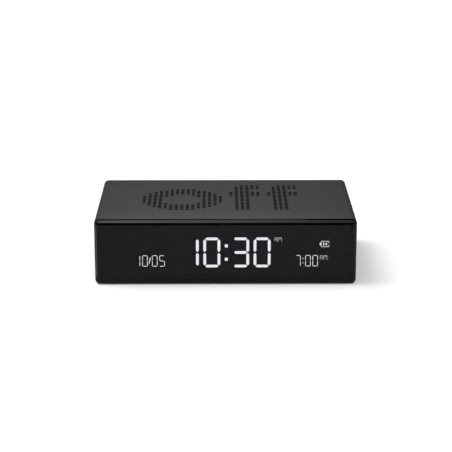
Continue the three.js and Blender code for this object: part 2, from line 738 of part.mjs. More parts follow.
function speaker() {
  const mouthOut = speakerMouthRadius + speakerSheet;
  const backOut = -speakerDepth - speakerSheet;
  const basket = [
    [speakerMouthRadius, 0], [speakerMouthRadius, -speakerMouthDepth],
    [speakerBackRadius - speakerSheet, -speakerDepth], [speakerBackHole, -speakerDepth],
    [speakerBackHole, backOut], [speakerBackRadius, backOut],
    [mouthOut, -speakerMouthDepth - speakerSheet / 2], [mouthOut, -speakerSheet],
    [speakerRadius, -speakerSheet], [speakerRadius, 0], [speakerMouthRadius, 0]];
  const coneEdge = speakerMouthRadius - fitGap;
  const coneInner = coneEdge - coneRimWidth;
  const coneSet = coneTravel + coneClearance;
  const coneLow = -coneSet - coneSheet;
  const coilTop = -coneSet - coneDrop;
  const coilEnd = coilTop - coilLength;
  const cone = [
    [0, coilTop + coneSheet], [coilRadius - coilSheet, coilTop], [coilRadius, coilTop],
    [coneInner, -coneSet], [coneEdge, -coneSet], [coneEdge, coneLow], [coneInner, coneLow],
    [coilRadius, coilTop - coneSheet], [coilRadius, coilEnd], [coilRadius - coilSheet, coilEnd],
    [coilRadius - coilSheet, coilTop - coneSheet], [0, coilTop]];
  const magnetTop = backOut - bondGap;
  const magnetLow = magnetTop - magnetHeight;
  const slotOut = coilRadius + fitGap;
  const slotIn = coilRadius - coilSheet - fitGap;
  const slotLow = magnetTop - magnetGapDepth;
  const magnet = [
    [0, magnetLow], [magnetRadius, magnetLow], [magnetRadius, magnetTop], [slotOut, magnetTop],
    [slotOut, slotLow], [slotIn, slotLow], [slotIn, magnetTop], [0, magnetTop]];
  const gasketLow = bondGap;
  const gasketTop = gasketLow + speakerGasket;
  const gasketIn = speakerMouthRadius;
  const gasket = [
    [gasketIn, gasketLow], [speakerRadius, gasketLow], [speakerRadius, gasketTop], [gasketIn, gasketTop],
    [gasketIn, gasketLow]];
  const group = assembly(
    piece('speaker_gasket', turned(gasket), materials.softRubber),
    piece('speaker_basket', turned(basket), materials.steel),
    piece('speaker_cone', turned(cone.reverse()), materials.conePaper),
    piece('speaker_magnet', turned(magnet), materials.ferrite));
  const rimZ = insideZ - bondGap - clothThickness - bondGap - speakerGasket - bondGap;
  group.position.set(speakerX, speakerY, rimZ);
  const leadZ = rimZ + (magnetTop + magnetLow) / 2;
  const from = new THREE.Vector3(speakerX, speakerY - magnetRadius - fitGap, leadZ);
  const to = new THREE.Vector3(speakerX, displayBoardBack + fitGap, leadZ);
  const back = axisY.clone().negate();
  return assembly(group, wire('speaker_lead', from, back, to, back, leadRadius, materials.blackInsulation));
}

// Everything above is measured from the middle of the case, which stands half its height up
const clock = assembly(
  caseShells(), grilleCloths(), displayStack(), displayBoardParts(), boardRibbon(), rearEnd(),
  batteryPack(), speaker());
clock.position.z = height / 2;

export default assembly(clock);
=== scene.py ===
# %% [markdown]
# # A reversible alarm clock
# This clock is a flat block with a dark glossy display in front. Its alarm has no switch: small
# slots spell off on one large face and on on the other, and whichever word faces up is the state.
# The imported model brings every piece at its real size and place. The lesson adds what the eye
# meets: fine skins for the pieces that show, and a finish for each material.

import json
import math

import bmesh
import bpy
from mathutils import Matrix, Vector


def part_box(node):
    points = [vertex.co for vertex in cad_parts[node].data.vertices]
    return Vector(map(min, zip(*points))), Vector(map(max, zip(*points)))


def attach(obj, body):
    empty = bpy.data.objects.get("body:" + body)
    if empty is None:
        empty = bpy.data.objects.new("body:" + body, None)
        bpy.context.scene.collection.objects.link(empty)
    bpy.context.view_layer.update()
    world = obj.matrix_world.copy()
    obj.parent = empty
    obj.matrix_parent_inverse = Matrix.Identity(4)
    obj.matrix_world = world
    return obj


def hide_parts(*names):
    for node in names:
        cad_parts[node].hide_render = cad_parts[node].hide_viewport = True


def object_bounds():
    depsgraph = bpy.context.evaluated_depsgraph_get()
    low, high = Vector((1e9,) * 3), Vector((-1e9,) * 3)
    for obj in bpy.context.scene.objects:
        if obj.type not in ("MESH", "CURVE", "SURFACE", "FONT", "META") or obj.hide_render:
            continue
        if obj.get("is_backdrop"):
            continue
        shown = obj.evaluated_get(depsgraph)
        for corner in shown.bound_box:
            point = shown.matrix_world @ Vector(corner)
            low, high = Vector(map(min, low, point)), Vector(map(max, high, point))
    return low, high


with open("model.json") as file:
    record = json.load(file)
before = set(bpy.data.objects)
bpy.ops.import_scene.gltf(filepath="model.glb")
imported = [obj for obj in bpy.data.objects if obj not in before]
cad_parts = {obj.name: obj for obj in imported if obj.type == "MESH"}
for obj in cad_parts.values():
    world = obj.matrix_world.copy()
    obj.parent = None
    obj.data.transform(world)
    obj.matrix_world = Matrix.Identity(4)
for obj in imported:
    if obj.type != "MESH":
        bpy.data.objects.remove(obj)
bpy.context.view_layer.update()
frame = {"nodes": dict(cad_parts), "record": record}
scene = bpy.context.scene
MM = 0.001
MERGE = MM / 1000    # points closer than this are one


def put(name, data):
    """Puts a mesh, a lamp or a camera into the scene."""
    thing = bpy.data.objects.new(name, data)
    scene.collection.objects.link(thing)
    return thing


# %% [markdown]
# ## The camera
# The photograph is taken from a little above, through a long lens, so edges that run to the rear
# hardly draw together. The view was found by fitting the clock's corners: it looks down by about
# 16 degrees from 665 mm away. A long lens from far off keeps these proportions. A wide lens close
# by would fill the picture too, but it would spread the front and shrink the rear.

# %% Set up the camera
view_down = math.radians(16.159)
view_turn = math.radians(0.328)
view_distance = 665.0 * MM
view_aim = Vector((0.343, 0.0, 15.369)) * MM
forward = Vector((
    math.sin(view_turn) * math.cos(view_down),
    math.cos(view_turn) * math.cos(view_down),
    -math.sin(view_down)))

camera = put("camera", bpy.data.cameras.new("camera"))
camera.data.sensor_width = 36.0
camera.data.lens = 126.5
camera.data.clip_start = 0.02
camera.location = view_aim - forward * view_distance
camera.rotation_euler = forward.to_track_quat("-Z", "Y").to_euler()
scene.camera = camera
scene.view_settings.view_transform = "Standard"
print("camera at mm:", [round(v / MM, 1) for v in camera.location])

# %% [markdown]
# ## Colours and nodes
# Paint and plastic are matched in sRGB, as on a screen, but a shader computes with linear light. One
# function turns a hex colour into linear numbers. A second one adds a node, sets it and links it in one
# call, which keeps a finish readable as a list of what it is made of.

# %% Helpers for colours and nodes
def linear(code):
    """An sRGB hex colour as linear numbers, with full opacity."""
    parts = [int(code[i:i + 2], 16) / 255 for i in (1, 3, 5)]
    return [p / 12.92 if p <= 0.04045 else ((p + 0.055) / 1.055) ** 2.4 for p in parts] + [1.0]


def add(tree, kind, inputs=None, **settings):
    """Adds a node. Each input goes by its name, identifier or number, and takes a value, an output,
    or a node, which stands for its first output."""
    made = tree.nodes.new(kind)
    for key, value in settings.items():
        setattr(made, key, value)
    for key, value in (inputs or {}).items():
        named = [s for s in made.inputs if s.identifier == key]
        socket = named[0] if named else made.inputs[key]
        if isinstance(value, bpy.types.Node):
            value = value.outputs[0]
        if isinstance(value, bpy.types.NodeSocket):
            tree.links.new(value, socket)
        else:
            socket.default_value = value
    return made

# %% [markdown]
# ## What a finish is made of
# Every finish starts as one principled shader. A pattern on the piece's own coordinates then leads
# its colour, its roughness and a low bump together, because on a real surface the same grain or
# thread changes all three. Separate patterns would look like dirt on the surface instead.

# %% Helpers for finishes
def finish(name, **inputs):
    """A material with one principled shader, whose sockets take the values given."""
    material = bpy.data.materials.new(name)
    material.use_nodes = True
    tree = material.node_tree
    tree.nodes.clear()
    sockets = {key.replace("_", " "): value for key, value in inputs.items()}
    shader = add(tree, "ShaderNodeBsdfPrincipled", sockets)
    add(tree, "ShaderNodeOutputMaterial", {"Surface": shader})
    print("mixed", name)
    return material, tree, shader


def lumps(tree, size, detail=2.0, stretch=(1, 1, 1)):
    """Smooth noise with lumps of about that size in metres, on the piece's own coordinates."""
    place = add(tree, "ShaderNodeTexCoord").outputs["Object"]
    drawn = add(tree, "ShaderNodeMapping", {"Vector": place, "Scale": stretch})
    noise = add(tree, "ShaderNodeTexNoise", {"Vector": drawn, "Scale": 1 / size, "Detail": detail})
    return noise.outputs["Fac"]


def vary(tree, shader, pattern, colours, roughness, height=0.0):
    """Lets a pattern lead colour and roughness, and raise the surface by a height in metres."""
    mixed = add(tree, "ShaderNodeMix", {
        "Factor_Float": pattern, "A_Color": linear(colours[0]), "B_Color": linear(colours[1]),
    }, data_type="RGBA")
    tree.links.new(mixed.outputs[2], shader.inputs["Base Color"])
    gloss = add(tree, "ShaderNodeMapRange", {
        "Value": pattern, "To Min": roughness[0], "To Max": roughness[1]})
    tree.links.new(gloss.outputs[0], shader.inputs["Roughness"])
    if height:
        bump = add(tree, "ShaderNodeBump", {"Height": pattern, "Distance": height})
        tree.links.new(bump.outputs[0], shader.inputs["Normal"])

# %% [markdown]
# ## Plain studio light
# The photograph shows a white sweep, soft light from above on the left and a soft shadow to the
# right. A world of even light fills in, a wide sun stands to the left and a little behind, and a
# weaker one fills from the front. Lamps close by could do it too, but their light would fade
# across the floor, and the floor should stay white. The world is plain white for whatever looks
# at it or mirrors it, and weaker as a light, so that the shadow keeps its shape.

# %% Light the studio
WORLD_FILL = 0.36
KEY_SHARE = 0.5
FILL_SHARE = 0.2


def seen(tree):
    """Is 1 for a ray that looks at the background, mirrors it or passes through glass to it."""
    ray = add(tree, "ShaderNodeLightPath").outputs
    looked = add(tree, "ShaderNodeMath", {
        0: ray["Is Camera Ray"], 1: ray["Is Glossy Ray"]}, operation="ADD")
    return add(tree, "ShaderNodeMath", {
        0: looked, 1: ray["Is Transmission Ray"]}, operation="ADD", use_clamp=True)


def soft_sun(name, stands, share, angle):
    """A wide sun that gives a level floor that share of full light."""
    lamp = put(name, bpy.data.lights.new(name, "SUN"))
    toward = Vector(stands).normalized()
    lamp.data.angle = math.radians(angle)
    lamp.data.energy = share * math.pi / toward.z
    lamp.rotation_euler = (-toward).to_track_quat("-Z", "Y").to_euler()
    print(name, "stands", round(math.degrees(math.asin(toward.z))), "degrees high")


world = bpy.data.worlds.new("studio")
scene.world = world
world.use_nodes = True
sky = world.node_tree
sky.nodes.clear()
strength = add(sky, "ShaderNodeMapRange", {"Value": seen(sky), "To Min": WORLD_FILL, "To Max": 1.0})
backdrop = add(sky, "ShaderNodeBackground", {"Color": linear("#ffffff"), "Strength": strength})
add(sky, "ShaderNodeOutputWorld", {"Surface": backdrop})
soft_sun("key", (-0.6, 0.15, 1.0), KEY_SHARE, 40)
soft_sun("fill", (0.1, -0.8, 1.0), FILL_SHARE, 60)

# %% [markdown]
# ## The floor and the cards
# A studio floor is a sheet of white card that fills the picture. Its shader adds a little glow for
# rays that look at it, so that it reads white and still takes the shadow. Five cards shape what
# the glossy window and the satin cover mirror. A soft box above in front draws the bright line
# along the window's rounded edge, and a low black card beneath the lens gives that line its dark
# neighbour. A large black card behind calms the sheen of the cover, and a small pale one before it
# leaves a soft glow on the middle. A slanted strip at the left draws the thin line on the window's
# left edge. They show only in mirrored light.

# %% Helpers for the stage
def sheet_of(name, corners):
    """A flat sheet of the stage between four corners."""
    mesh = bpy.data.meshes.new(name)
    mesh.from_pydata(corners, [], [(0, 1, 2, 3)])
    sheet = put(name, mesh)
    sheet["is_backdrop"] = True
    print("set up", name)
    return sheet


def stage_card(name, corners, strength):
    """A flat card with corners in mm that only glossy surfaces see."""
    card = sheet_of(name, [Vector(corner) * MM for corner in corners])
    material = bpy.data.materials.new(name)
    material.use_nodes = True
    tree = material.node_tree
    tree.nodes.clear()
    glow = add(tree, "ShaderNodeEmission", {"Color": linear("#ffffff"), "Strength": strength(tree)})
    add(tree, "ShaderNodeOutputMaterial", {"Surface": glow})
    card.data.materials.append(material)
    for ray_kind in ("camera", "diffuse", "transmission", "shadow", "volume_scatter"):
        setattr(card, "visible_" + ray_kind, False)


def fading(left, right):
    """Strength that falls from the left end of the soft box to its right end."""
    def strength(tree):
        place = add(tree, "ShaderNodeTexCoord").outputs["Object"]
        across = add(tree, "ShaderNodeSeparateXYZ", {"Vector": place}).outputs["X"]
        return add(tree, "ShaderNodeMapRange", {
            "Value": across, "From Min": -60 * MM, "From Max": 80 * MM, "To Min": left, "To Max": right})
    return strength


def steady(amount):
    """The same strength all over."""
    return lambda tree: amount

# %% Lay the floor and hang the cards
FLOOR_GLOW = 0.2
reach = 3.0
floor = sheet_of("floor", [(x * reach, y * reach, 0) for x, y in ((-1, -1), (1, -1), (1, 1), (-1, 1))])
card_white, tree, shader = finish(
    "white card", Base_Color=linear("#f6f6f6"), Roughness=0.9, Specular_IOR_Level=0.0,
    Emission_Color=linear("#ffffff"))
floor.data.materials.append(card_white)
glow = add(tree, "ShaderNodeMath", {0: seen(tree), 1: FLOOR_GLOW}, operation="MULTIPLY")
tree.links.new(glow.outputs[0], shader.inputs["Emission Strength"])

CARDS = {
    "soft_box": ([(-85, -180, 86), (85, -180, 86), (85, -115, 205), (-85, -115, 205)], fading(8.5, 2.0)),
    "black_card": ([(-500, -170, 1), (500, -170, 1), (500, -170, 60), (-500, -170, 60)], steady(0.0)),
    "rear_card": ([(-900, 300, 1), (900, 300, 1), (900, 300, 900), (-900, 300, 900)], steady(0.0)),
    "pale_card": ([(-90, 250, 200), (60, 250, 200), (60, 150, 400), (-90, 150, 400)], steady(2.6)),
    "side_card": ([(-58, -34, 1), (-58, -39, 1), (-146, -136, 1), (-176, -98, 1)], steady(6.0))}
for name, (corners, strength) in CARDS.items():
    stage_card(name, corners, strength)

# %% [markdown]
# ## Meshes from outlines
# Nearly every piece of this clock is an outline carried along a line: a half tube for each shell,
# a slab for the window, discs for buttons. Small functions draw them: a rounded outline, a skin
# through a row of outlines, and an outline turned about an axis. Skins made this way have exactly
# the edges that their sizes ask for, which a bevel modifier only comes near to.

# %% Helpers for outlines
def rounded(wide, high, radius, steps=8):
    """A rectangle with round corners, as (across, up) pairs about its middle."""
    points = []
    for corner, (side, rise) in enumerate([(1, 1), (-1, 1), (-1, -1), (1, -1)]):
        for step in range(steps + 1):
            angle = (corner + step / steps) * math.pi / 2
            points.append((
                side * (wide / 2 - radius) + radius * math.cos(angle),
                rise * (high / 2 - radius) + radius * math.sin(angle)))
    return points


def quarter(steps):
    """The cosine and sine of each step from 0 to 90 degrees."""
    angles = [math.pi / 2 * step / steps for step in range(steps + 1)]
    return [(math.cos(angle), math.sin(angle)) for angle in angles]


def placed(outline, across, up):
    """An outline moved to its place."""
    return [(x + across, z + up) for x, z in outline]

# %% Helpers for skins
def as_mesh(bm):
    """Closes a drawing: doubles merged, faces turned outwards."""
    bmesh.ops.remove_doubles(bm, verts=bm.verts, dist=MERGE)
    bmesh.ops.recalc_face_normals(bm, faces=bm.faces)
    mesh = bpy.data.meshes.new("drawn")
    bm.to_mesh(mesh)
    bm.free()
    return mesh


def skin(rings, ring_closes=False):
    """A mesh through rings of points. Its ends are filled, or joined to each other."""
    bm = bmesh.new()
    loops = [[bm.verts.new(point) for point in ring] for ring in rings]
    pairs = list(zip(loops, loops[1:]))
    if ring_closes:
        pairs.append((loops[-1], loops[0]))
    else:
        bm.faces.new(loops[0])
        bm.faces.new(loops[-1])
    for one, two in pairs:
        for i in range(len(one)):
            j = (i + 1) % len(one)
            bm.faces.new((one[i], one[j], two[j], two[i]))
    return as_mesh(bm)


def slab(outlines):
    """A skin through (outline, y) pairs, whose outlines lie across the Y axis."""
    return skin([[(x, y, z) for x, z in outline] for outline, y in outlines])


def lying(outlines):
    """A skin through (outline, z) pairs, whose outlines lie flat."""
    return skin([[(x, y, z) for x, y in outline] for outline, z in outlines])


def turned(profile, middle, axis="Y", sides=64):
    """A closed profile of (radius, along) pairs turned about an axis through middle."""
    rings = []
    for side in range(sides):
        angle = 2 * math.pi * side / sides
        flat = [(r * math.cos(angle), r * math.sin(angle), along) for r, along in profile]
        swapped = [(a, c, b) if axis == "Y" else (a, b, c) for a, b, c in flat]
        rings.append([Vector(middle) + Vector(point) for point in swapped])
    return skin(rings, ring_closes=True)


def upright(profile, middle, sides=96):
    """A closed profile of (radius, z) pairs turned about the upright axis through middle."""
    return turned(profile, (middle.x, middle.y, 0), axis="Z", sides=sides)

# %% Helpers for rounded slabs
def stepped(wide, high, radius, plans, across=0.0, up=0.0):
    """A slab across the Y axis. Each (inset, y) pair of plans gives one outline of it."""
    least = 0.05 * MM
    return slab([
        (placed(rounded(wide - 2 * inset, high - 2 * inset, max(radius - inset, least)), across, up), y)
        for inset, y in plans])


def soft_slab(wide, high, radius, front, back, edge, across=0.0, up=0.0):
    """A slab across the Y axis with both its rims broken."""
    plans = [(edge, front), (0.0, front + edge), (0.0, back - edge), (edge, back)]
    return stepped(wide, high, radius, plans, across, up)


def stamped(outline, front, back, across=0.0, up=0.0):
    """A sharp slab of any outline."""
    return slab([(placed(outline, across, up), front), (placed(outline, across, up), back)])

# %% [markdown]
# Bosses, holes and windows come from solids that are joined to a piece or cut from it. The manifold
# solver does that for closed skins such as these at once, and leaves a closed mesh behind.

# %% Helper that joins and cuts
def combined(mesh, others, operation):
    """The mesh with others joined to it, or cut from it, as one plain mesh."""
    body = put("body", mesh)
    tools = [put("tool", other) for other in others]
    for tool in tools:
        change = body.modifiers.new(operation, "BOOLEAN")
        change.operation = operation
        change.solver = "MANIFOLD"
        change.object = tool
    graph = bpy.context.evaluated_depsgraph_get()
    result = bpy.data.meshes.new_from_object(body.evaluated_get(graph))
    for used in (body, *tools):
        bpy.data.objects.remove(used)
    return result

# %% [markdown]
# A finished mesh becomes a piece of the clock when it has its finish, its body and its material
# slot. It is shaded smooth, but an edge whose faces meet at more than the angle given stays sharp.

# %% Helper that makes a piece
def keep(name, mesh, material, body="case", replaces=(), angle=30):
    """Makes a mesh a piece of the clock: smooth below that angle, with its finish and its body."""
    mesh.materials.clear()
    mesh.materials.append(material)
    piece = put(name, mesh)
    mesh.polygons.foreach_set("use_smooth", [True] * len(mesh.polygons))
    mesh.set_sharp_from_angle(angle=math.radians(angle))
    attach(piece, body)
    if replaces:
        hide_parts(*replaces)
    print(name, "has", len(mesh.polygons), "faces")
    return piece

# %% [markdown]
# ## Copies by geometry nodes
# Screws, contacts and ribs are all one small shape set out at many places. Geometry nodes put the
# copies there. They are made real at the end, because instances do not leave Blender with a mesh.

# %% Helpers for geometry nodes
def ports(tree, inputs, output):
    """Gives a tree its inputs, each name with its kind, and one mesh as its output."""
    for name, kind in inputs.items():
        tree.interface.new_socket(name, in_out="INPUT", socket_type="NodeSocket" + kind)
    tree.interface.new_socket(output, in_out="OUTPUT", socket_type="NodeSocketGeometry")
    return add(tree, "NodeGroupInput").outputs


def grown(name, tree, places, piece, **values):
    """Runs a geometry node tree with a piece at places, and returns the plain mesh that comes out."""
    points = bpy.data.meshes.new("places")
    points.from_pydata(places, [], [])
    carrier, source = put(name, points), put("source", piece)
    change = carrier.modifiers.new(name, "NODES")
    change.node_group = tree
    given = {"Piece": source, **{key.replace("_", " "): value for key, value in values.items()}}
    for item in tree.interface.items_tree:
        if item.name in given:
            change[item.identifier] = given[item.name]
    graph = bpy.context.evaluated_depsgraph_get()
    result = bpy.data.meshes.new_from_object(carrier.evaluated_get(graph))
    for used in (carrier, source):
        bpy.data.objects.remove(used)
    return result

# %% Build the tree that sets out copies
def copies_tree():
    """Puts one copy of a piece at each point of the mesh that it gets."""
    tree = bpy.data.node_groups.new("set out copies", "GeometryNodeTree")
    inputs = {"Places": "Geometry", "Piece": "Object", "Size": "Float", "Finish": "Material"}
    given = ports(tree, inputs, "Copies")
    piece = add(tree, "GeometryNodeObjectInfo", {"Object": given["Piece"]})
    spots = add(tree, "GeometryNodeInstanceOnPoints", {
        "Points": given["Places"], "Instance": piece.outputs["Geometry"], "Scale": given["Size"]})
    real = add(tree, "GeometryNodeRealizeInstances", {"Geometry": spots})
    painted = add(tree, "GeometryNodeSetMaterial", {"Geometry": real, "Material": given["Finish"]})
    add(tree, "NodeGroupOutput", {0: painted})
    return tree


set_out = copies_tree()


def copies(mesh, places, material):
    """One mesh that holds a copy of the given one at each place."""
    return grown("copies", set_out, places, mesh, Size=1.0, Finish=material)


print("copy tree has", len(set_out.nodes), "nodes")

# %% [markdown]
# Most mouldings, papers and rubbers in the clock share one make-up: a fine grain that leads a
# slight change of colour and gloss, and raises the surface a little. Only the grain's size, its
# height and the two colours differ, so one function makes them all.

# %% Helper for grained finishes
def grained(name, colours, roughness, grain, depth, stretch=(1, 1, 1), **inputs):
    """A finish led by one grain, given in metres, that stands up by depth."""
    material, tree, shader = finish(name, **inputs)
    pattern = lumps(tree, grain, stretch=stretch)
    vary(tree, shader, pattern, colours, roughness, depth)
    return material

# %% [markdown]
# ## Satin lacquer over ABS
# The shells are moulded in ABS and sprayed with a soft satin lacquer, which gives a dark grey
# without a sharp highlight. Lacquer dries with a faint unevenness, called orange peel, of about
# a millimetre, over a far finer tooth. Noise at both scales makes it, through the roughness and
# a very low bump. A plain grey with one roughness would look like paper.

# %% Mix the satin lacquer
satin, tree, shader = finish("satin lacquer on moulded ABS", IOR=1.5, Specular_IOR_Level=0.3)
peel = lumps(tree, 1.2 * MM, detail=1.0)
tooth = lumps(tree, 0.18 * MM, detail=2.0)
blend = add(tree, "ShaderNodeMix", {"Factor_Float": 0.6, "A_Float": peel, "B_Float": tooth})
vary(tree, shader, blend, ("#2a2a2c", "#313133"), (0.48, 0.58), 0.006 * MM)

# %% [markdown]
# The front rim and the walls of the slots take a near-black, dull finish. Part of it is bare ABS: the
# rim is masked while the shells are sprayed, and the lacquer hardly reaches into the slots. The rest is
# painted shade. The colour is far darker than the black ABS of the rear plate, and it stands in for the
# shade in the gap behind the window and down in each slot. So the gap reads as a thin dark line, and
# each slot as a crisp dark mark.

# %% Mix the painted shade of the rim and the slot walls
# Near-black, dull ABS, darker than any black plastic of the clock: painted shade for the front rim and
# the slot walls.
rim_and_slot_shade, tree, shader = finish("painted shade on bare ABS", IOR=1.53, Specular_IOR_Level=0.02)
vary(tree, shader, lumps(tree, 0.3 * MM), ("#030303", "#060606"), (0.7, 0.8))

# %% [markdown]
# ## The two perforated shells
# Each shell is half of a tube, 1.6 mm thick, rounded along its long edges. The two halves meet at
# half height, where a tongue on one side slips behind a rebate on the other. The same mould shape
# serves above and beneath, turned over. Only the word differs. A row of outlines along the clock
# draws the tube, and its first and last outlines draw in to break the sharp rims.

# %% Measure the shells
shell_low, shell_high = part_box("top_shell")
case_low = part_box("bottom_shell")[0]
middle_z = (case_low.z + shell_high.z) / 2
half_wide = shell_high.x
half_high = shell_high.z - middle_z
shell_front = shell_low.y
shell_back = shell_high.y
wall = 1.6 * MM
edge_radius = 2.0 * MM
inner_radius = 0.8 * MM
rim_radius = 0.12 * MM
seam = 0.15 * MM
seam_edge = 0.1 * MM
tongue = 0.48 * MM
tongue_drop = 1.2 * MM
tongue_gap = 0.3 * MM
print("shell front and back in mm:", round(shell_front / MM, 2), round(shell_back / MM, 2))

# %% Draw half a tube
def corner(x, z, radius, start, steps=10):
    """A quarter turn of points about (x, z)."""
    angles = [math.radians(start + 90 * step / steps) for step in range(steps + 1)]
    return [(x + radius * math.cos(a), z + radius * math.sin(a)) for a in angles]


def half_tube(draw_in):
    """The shell's section about the middle of the clock, its outside drawn in by that much."""
    wide = half_wide - draw_in
    high = half_high - draw_in
    round_off = edge_radius - draw_in
    inside_x = half_wide - wall
    inside_z = half_high - wall
    outer = [(wide - seam_edge, seam), (wide, seam + seam_edge)]
    outer += corner(wide - round_off, high - round_off, round_off, 0)
    outer += corner(round_off - wide, high - round_off, round_off, 90)
    outer += [(-wide, seam + seam_edge), (seam_edge - wide, seam)]
    inner = [(-inside_x - tongue, seam), (-inside_x - tongue, -tongue_drop), (-inside_x, -tongue_drop)]
    inner += reversed(corner(inner_radius - inside_x, inside_z - inner_radius, inner_radius, 90))
    inner += reversed(corner(inside_x - inner_radius, inside_z - inner_radius, inner_radius, 0))
    rebate = tongue + tongue_gap
    inner += [(inside_x, tongue_drop + tongue_gap), (inside_x + rebate, tongue_drop + tongue_gap)]
    inner += [(inside_x + rebate, seam)]
    return outer + inner


def shell_skin():
    """The bare half tube, with softly broken rims at front and rear."""
    rows = [(rim_radius * (1 - sine), rim_radius * (1 - cosine)) for cosine, sine in quarter(4)]
    front = [(half_tube(draw_in), shell_front + ahead) for draw_in, ahead in rows]
    back = [(half_tube(draw_in), shell_back - ahead) for draw_in, ahead in reversed(rows)]
    return slab(front + back)


print("half tube has", len(half_tube(0.0)), "points round it")

# %% [markdown]
# The shells also carry four screw bosses, board stops and the ring that holds the speaker. They
# are joined to the wall as solids, because the mould fills them in one shot with it.

# %% Draw the bosses, stops and bores
board_low, board_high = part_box("key_board")
display_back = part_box("display_board")[1].y
screw_low, screw_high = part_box("panel_screw_1")
panel_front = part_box("rear_panel")[0].y
gap = 0.3 * MM
boss_wide = 4.6 * MM
stop_wide, stop_thick, stop_tall = 2.4 * MM, 1.2 * MM, 6 * MM
pilot_radius = 1.1 * MM
sunk = 0.5 * MM


def block(low, high):
    """A plain block between two corners, used only as a joining or cutting solid."""
    outline = [(low[0], low[2]), (high[0], low[2]), (high[0], high[2]), (low[0], high[2])]
    return slab([(outline, low[1]), (outline, high[1])])


def fittings():
    """Bosses and stops along both sides, about the middle of the clock."""
    made = []
    inside_x = half_wide - wall
    inside_z = half_high - wall
    stop_low = inside_z - stop_tall
    for side in (-1, 1):
        spans = [
            (boss_wide, board_high.y + gap, panel_front - gap, inside_z - boss_wide),
            (stop_wide, display_back + gap, display_back + gap + stop_thick, stop_low),
            (stop_wide, board_low.y - gap - stop_thick, board_low.y - gap, stop_low)]
        for deep, front, back, low in spans:
            across = sorted((side * (inside_x - deep), side * (inside_x + sunk)))
            made.append(block((across[0], front, low), (across[1], back, inside_z + sunk)))
    return made


def screw_bores():
    """Pilot holes for the panel screws."""
    reach_in = screw_low.y - gap
    x = half_wide - wall - boss_wide / 2
    z = half_high - wall - boss_wide / 2
    length = panel_front - reach_in
    profile = [(0, 0), (pilot_radius, 0), (pilot_radius, length), (0, length)]
    return [turned(profile, (side * x, reach_in, z), sides=24) for side in (-1, 1)]

# %% Draw the ring round the speaker
def middle_of(node):
    """The middle of a node's box."""
    low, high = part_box(node)
    return (low + high) / 2


speaker_low, speaker_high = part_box("speaker_basket")
speaker_middle = middle_of("speaker_basket")
speaker_radius = (speaker_high.x - speaker_low.x) / 2
ring_wall, ring_tall = 1.2 * MM, 3 * MM


def speaker_ring():
    """The wall that holds the speaker in place under the first letter."""
    inside_z = half_high - wall
    inner = speaker_radius + gap
    outer = inner + ring_wall
    low = inside_z - ring_tall
    high = inside_z + sunk
    profile = [(inner, low), (outer, low), (outer, high), (inner, high)]
    return upright(profile, speaker_middle, sides=64)


print("speaker radius in mm:", round(speaker_radius / MM, 2))

# %% [markdown]
# ## The slots that spell the words
# Each letter is a field of slots on one grid, drawn here as rows of text, where every mark is a
# slot. On the real clock the mould leaves them open, and each mouth is slightly flared so that
# the part comes off the steel. Geometry nodes suit this: one slot is drawn from its sizes, put on
# every grid place and cut from the wall at once. Cutting them one by one would be slow, and a
# painted pattern would give no depth when the clock is seen from the side.

# %% Write the words as grid places
O_ROWS = [
    ".....#####.....", "...#########...", "..###########..", ".#############.", ".#####...#####.",
    "#####.....#####", "####.......####", "####.......####", "####.......####", "####.......####",
    ".####.....####.", ".#############.", "..###########..", "...#########...", ".....#####....."]
F_ROWS = ["..####", ".#####", ".#####", ".###..", ".###..", "######", "######", "######"]
F_ROWS += [".###.."] * 10
N_ROWS = [
    "###...####...", "###.########.", "############.", "#############", "#####....####", "####......###"]
N_ROWS += ["###.......###"] * 9

letter_inset = 14.5 * MM
letter_rear_inset = 10.2 * MM
letter_offset = -2.0 * MM
front_row = shell_front + letter_inset
row_pitch = (shell_back - letter_rear_inset - front_row) / (len(F_ROWS) - 1)
column_pitch = 1.027 * row_pitch
slot_width = 0.56 * column_pitch
slot_length = 0.62 * row_pitch
slot_corner, slot_flare, slot_overrun = 0.35 * MM, 0.07 * MM, 0.3 * MM


def word_places(letters):
    """The middle of each slot of a word, on the wall's outer face."""
    places = []
    columns = sum(len(rows[0]) + 1 for rows in letters) - 1
    start = 0
    for rows in letters:
        for up, row in enumerate(reversed(rows)):
            for along, mark in enumerate(row):
                x = letter_offset + (start + along - (columns - 1) / 2) * column_pitch
                if mark == "#":
                    places.append((x, front_row + up * row_pitch, half_high))
        start += len(rows[0]) + 1
    return places


off_places = word_places([O_ROWS, F_ROWS, F_ROWS])
on_places = word_places([O_ROWS, N_ROWS])
print("slots above:", len(off_places), "and beneath:", len(on_places))

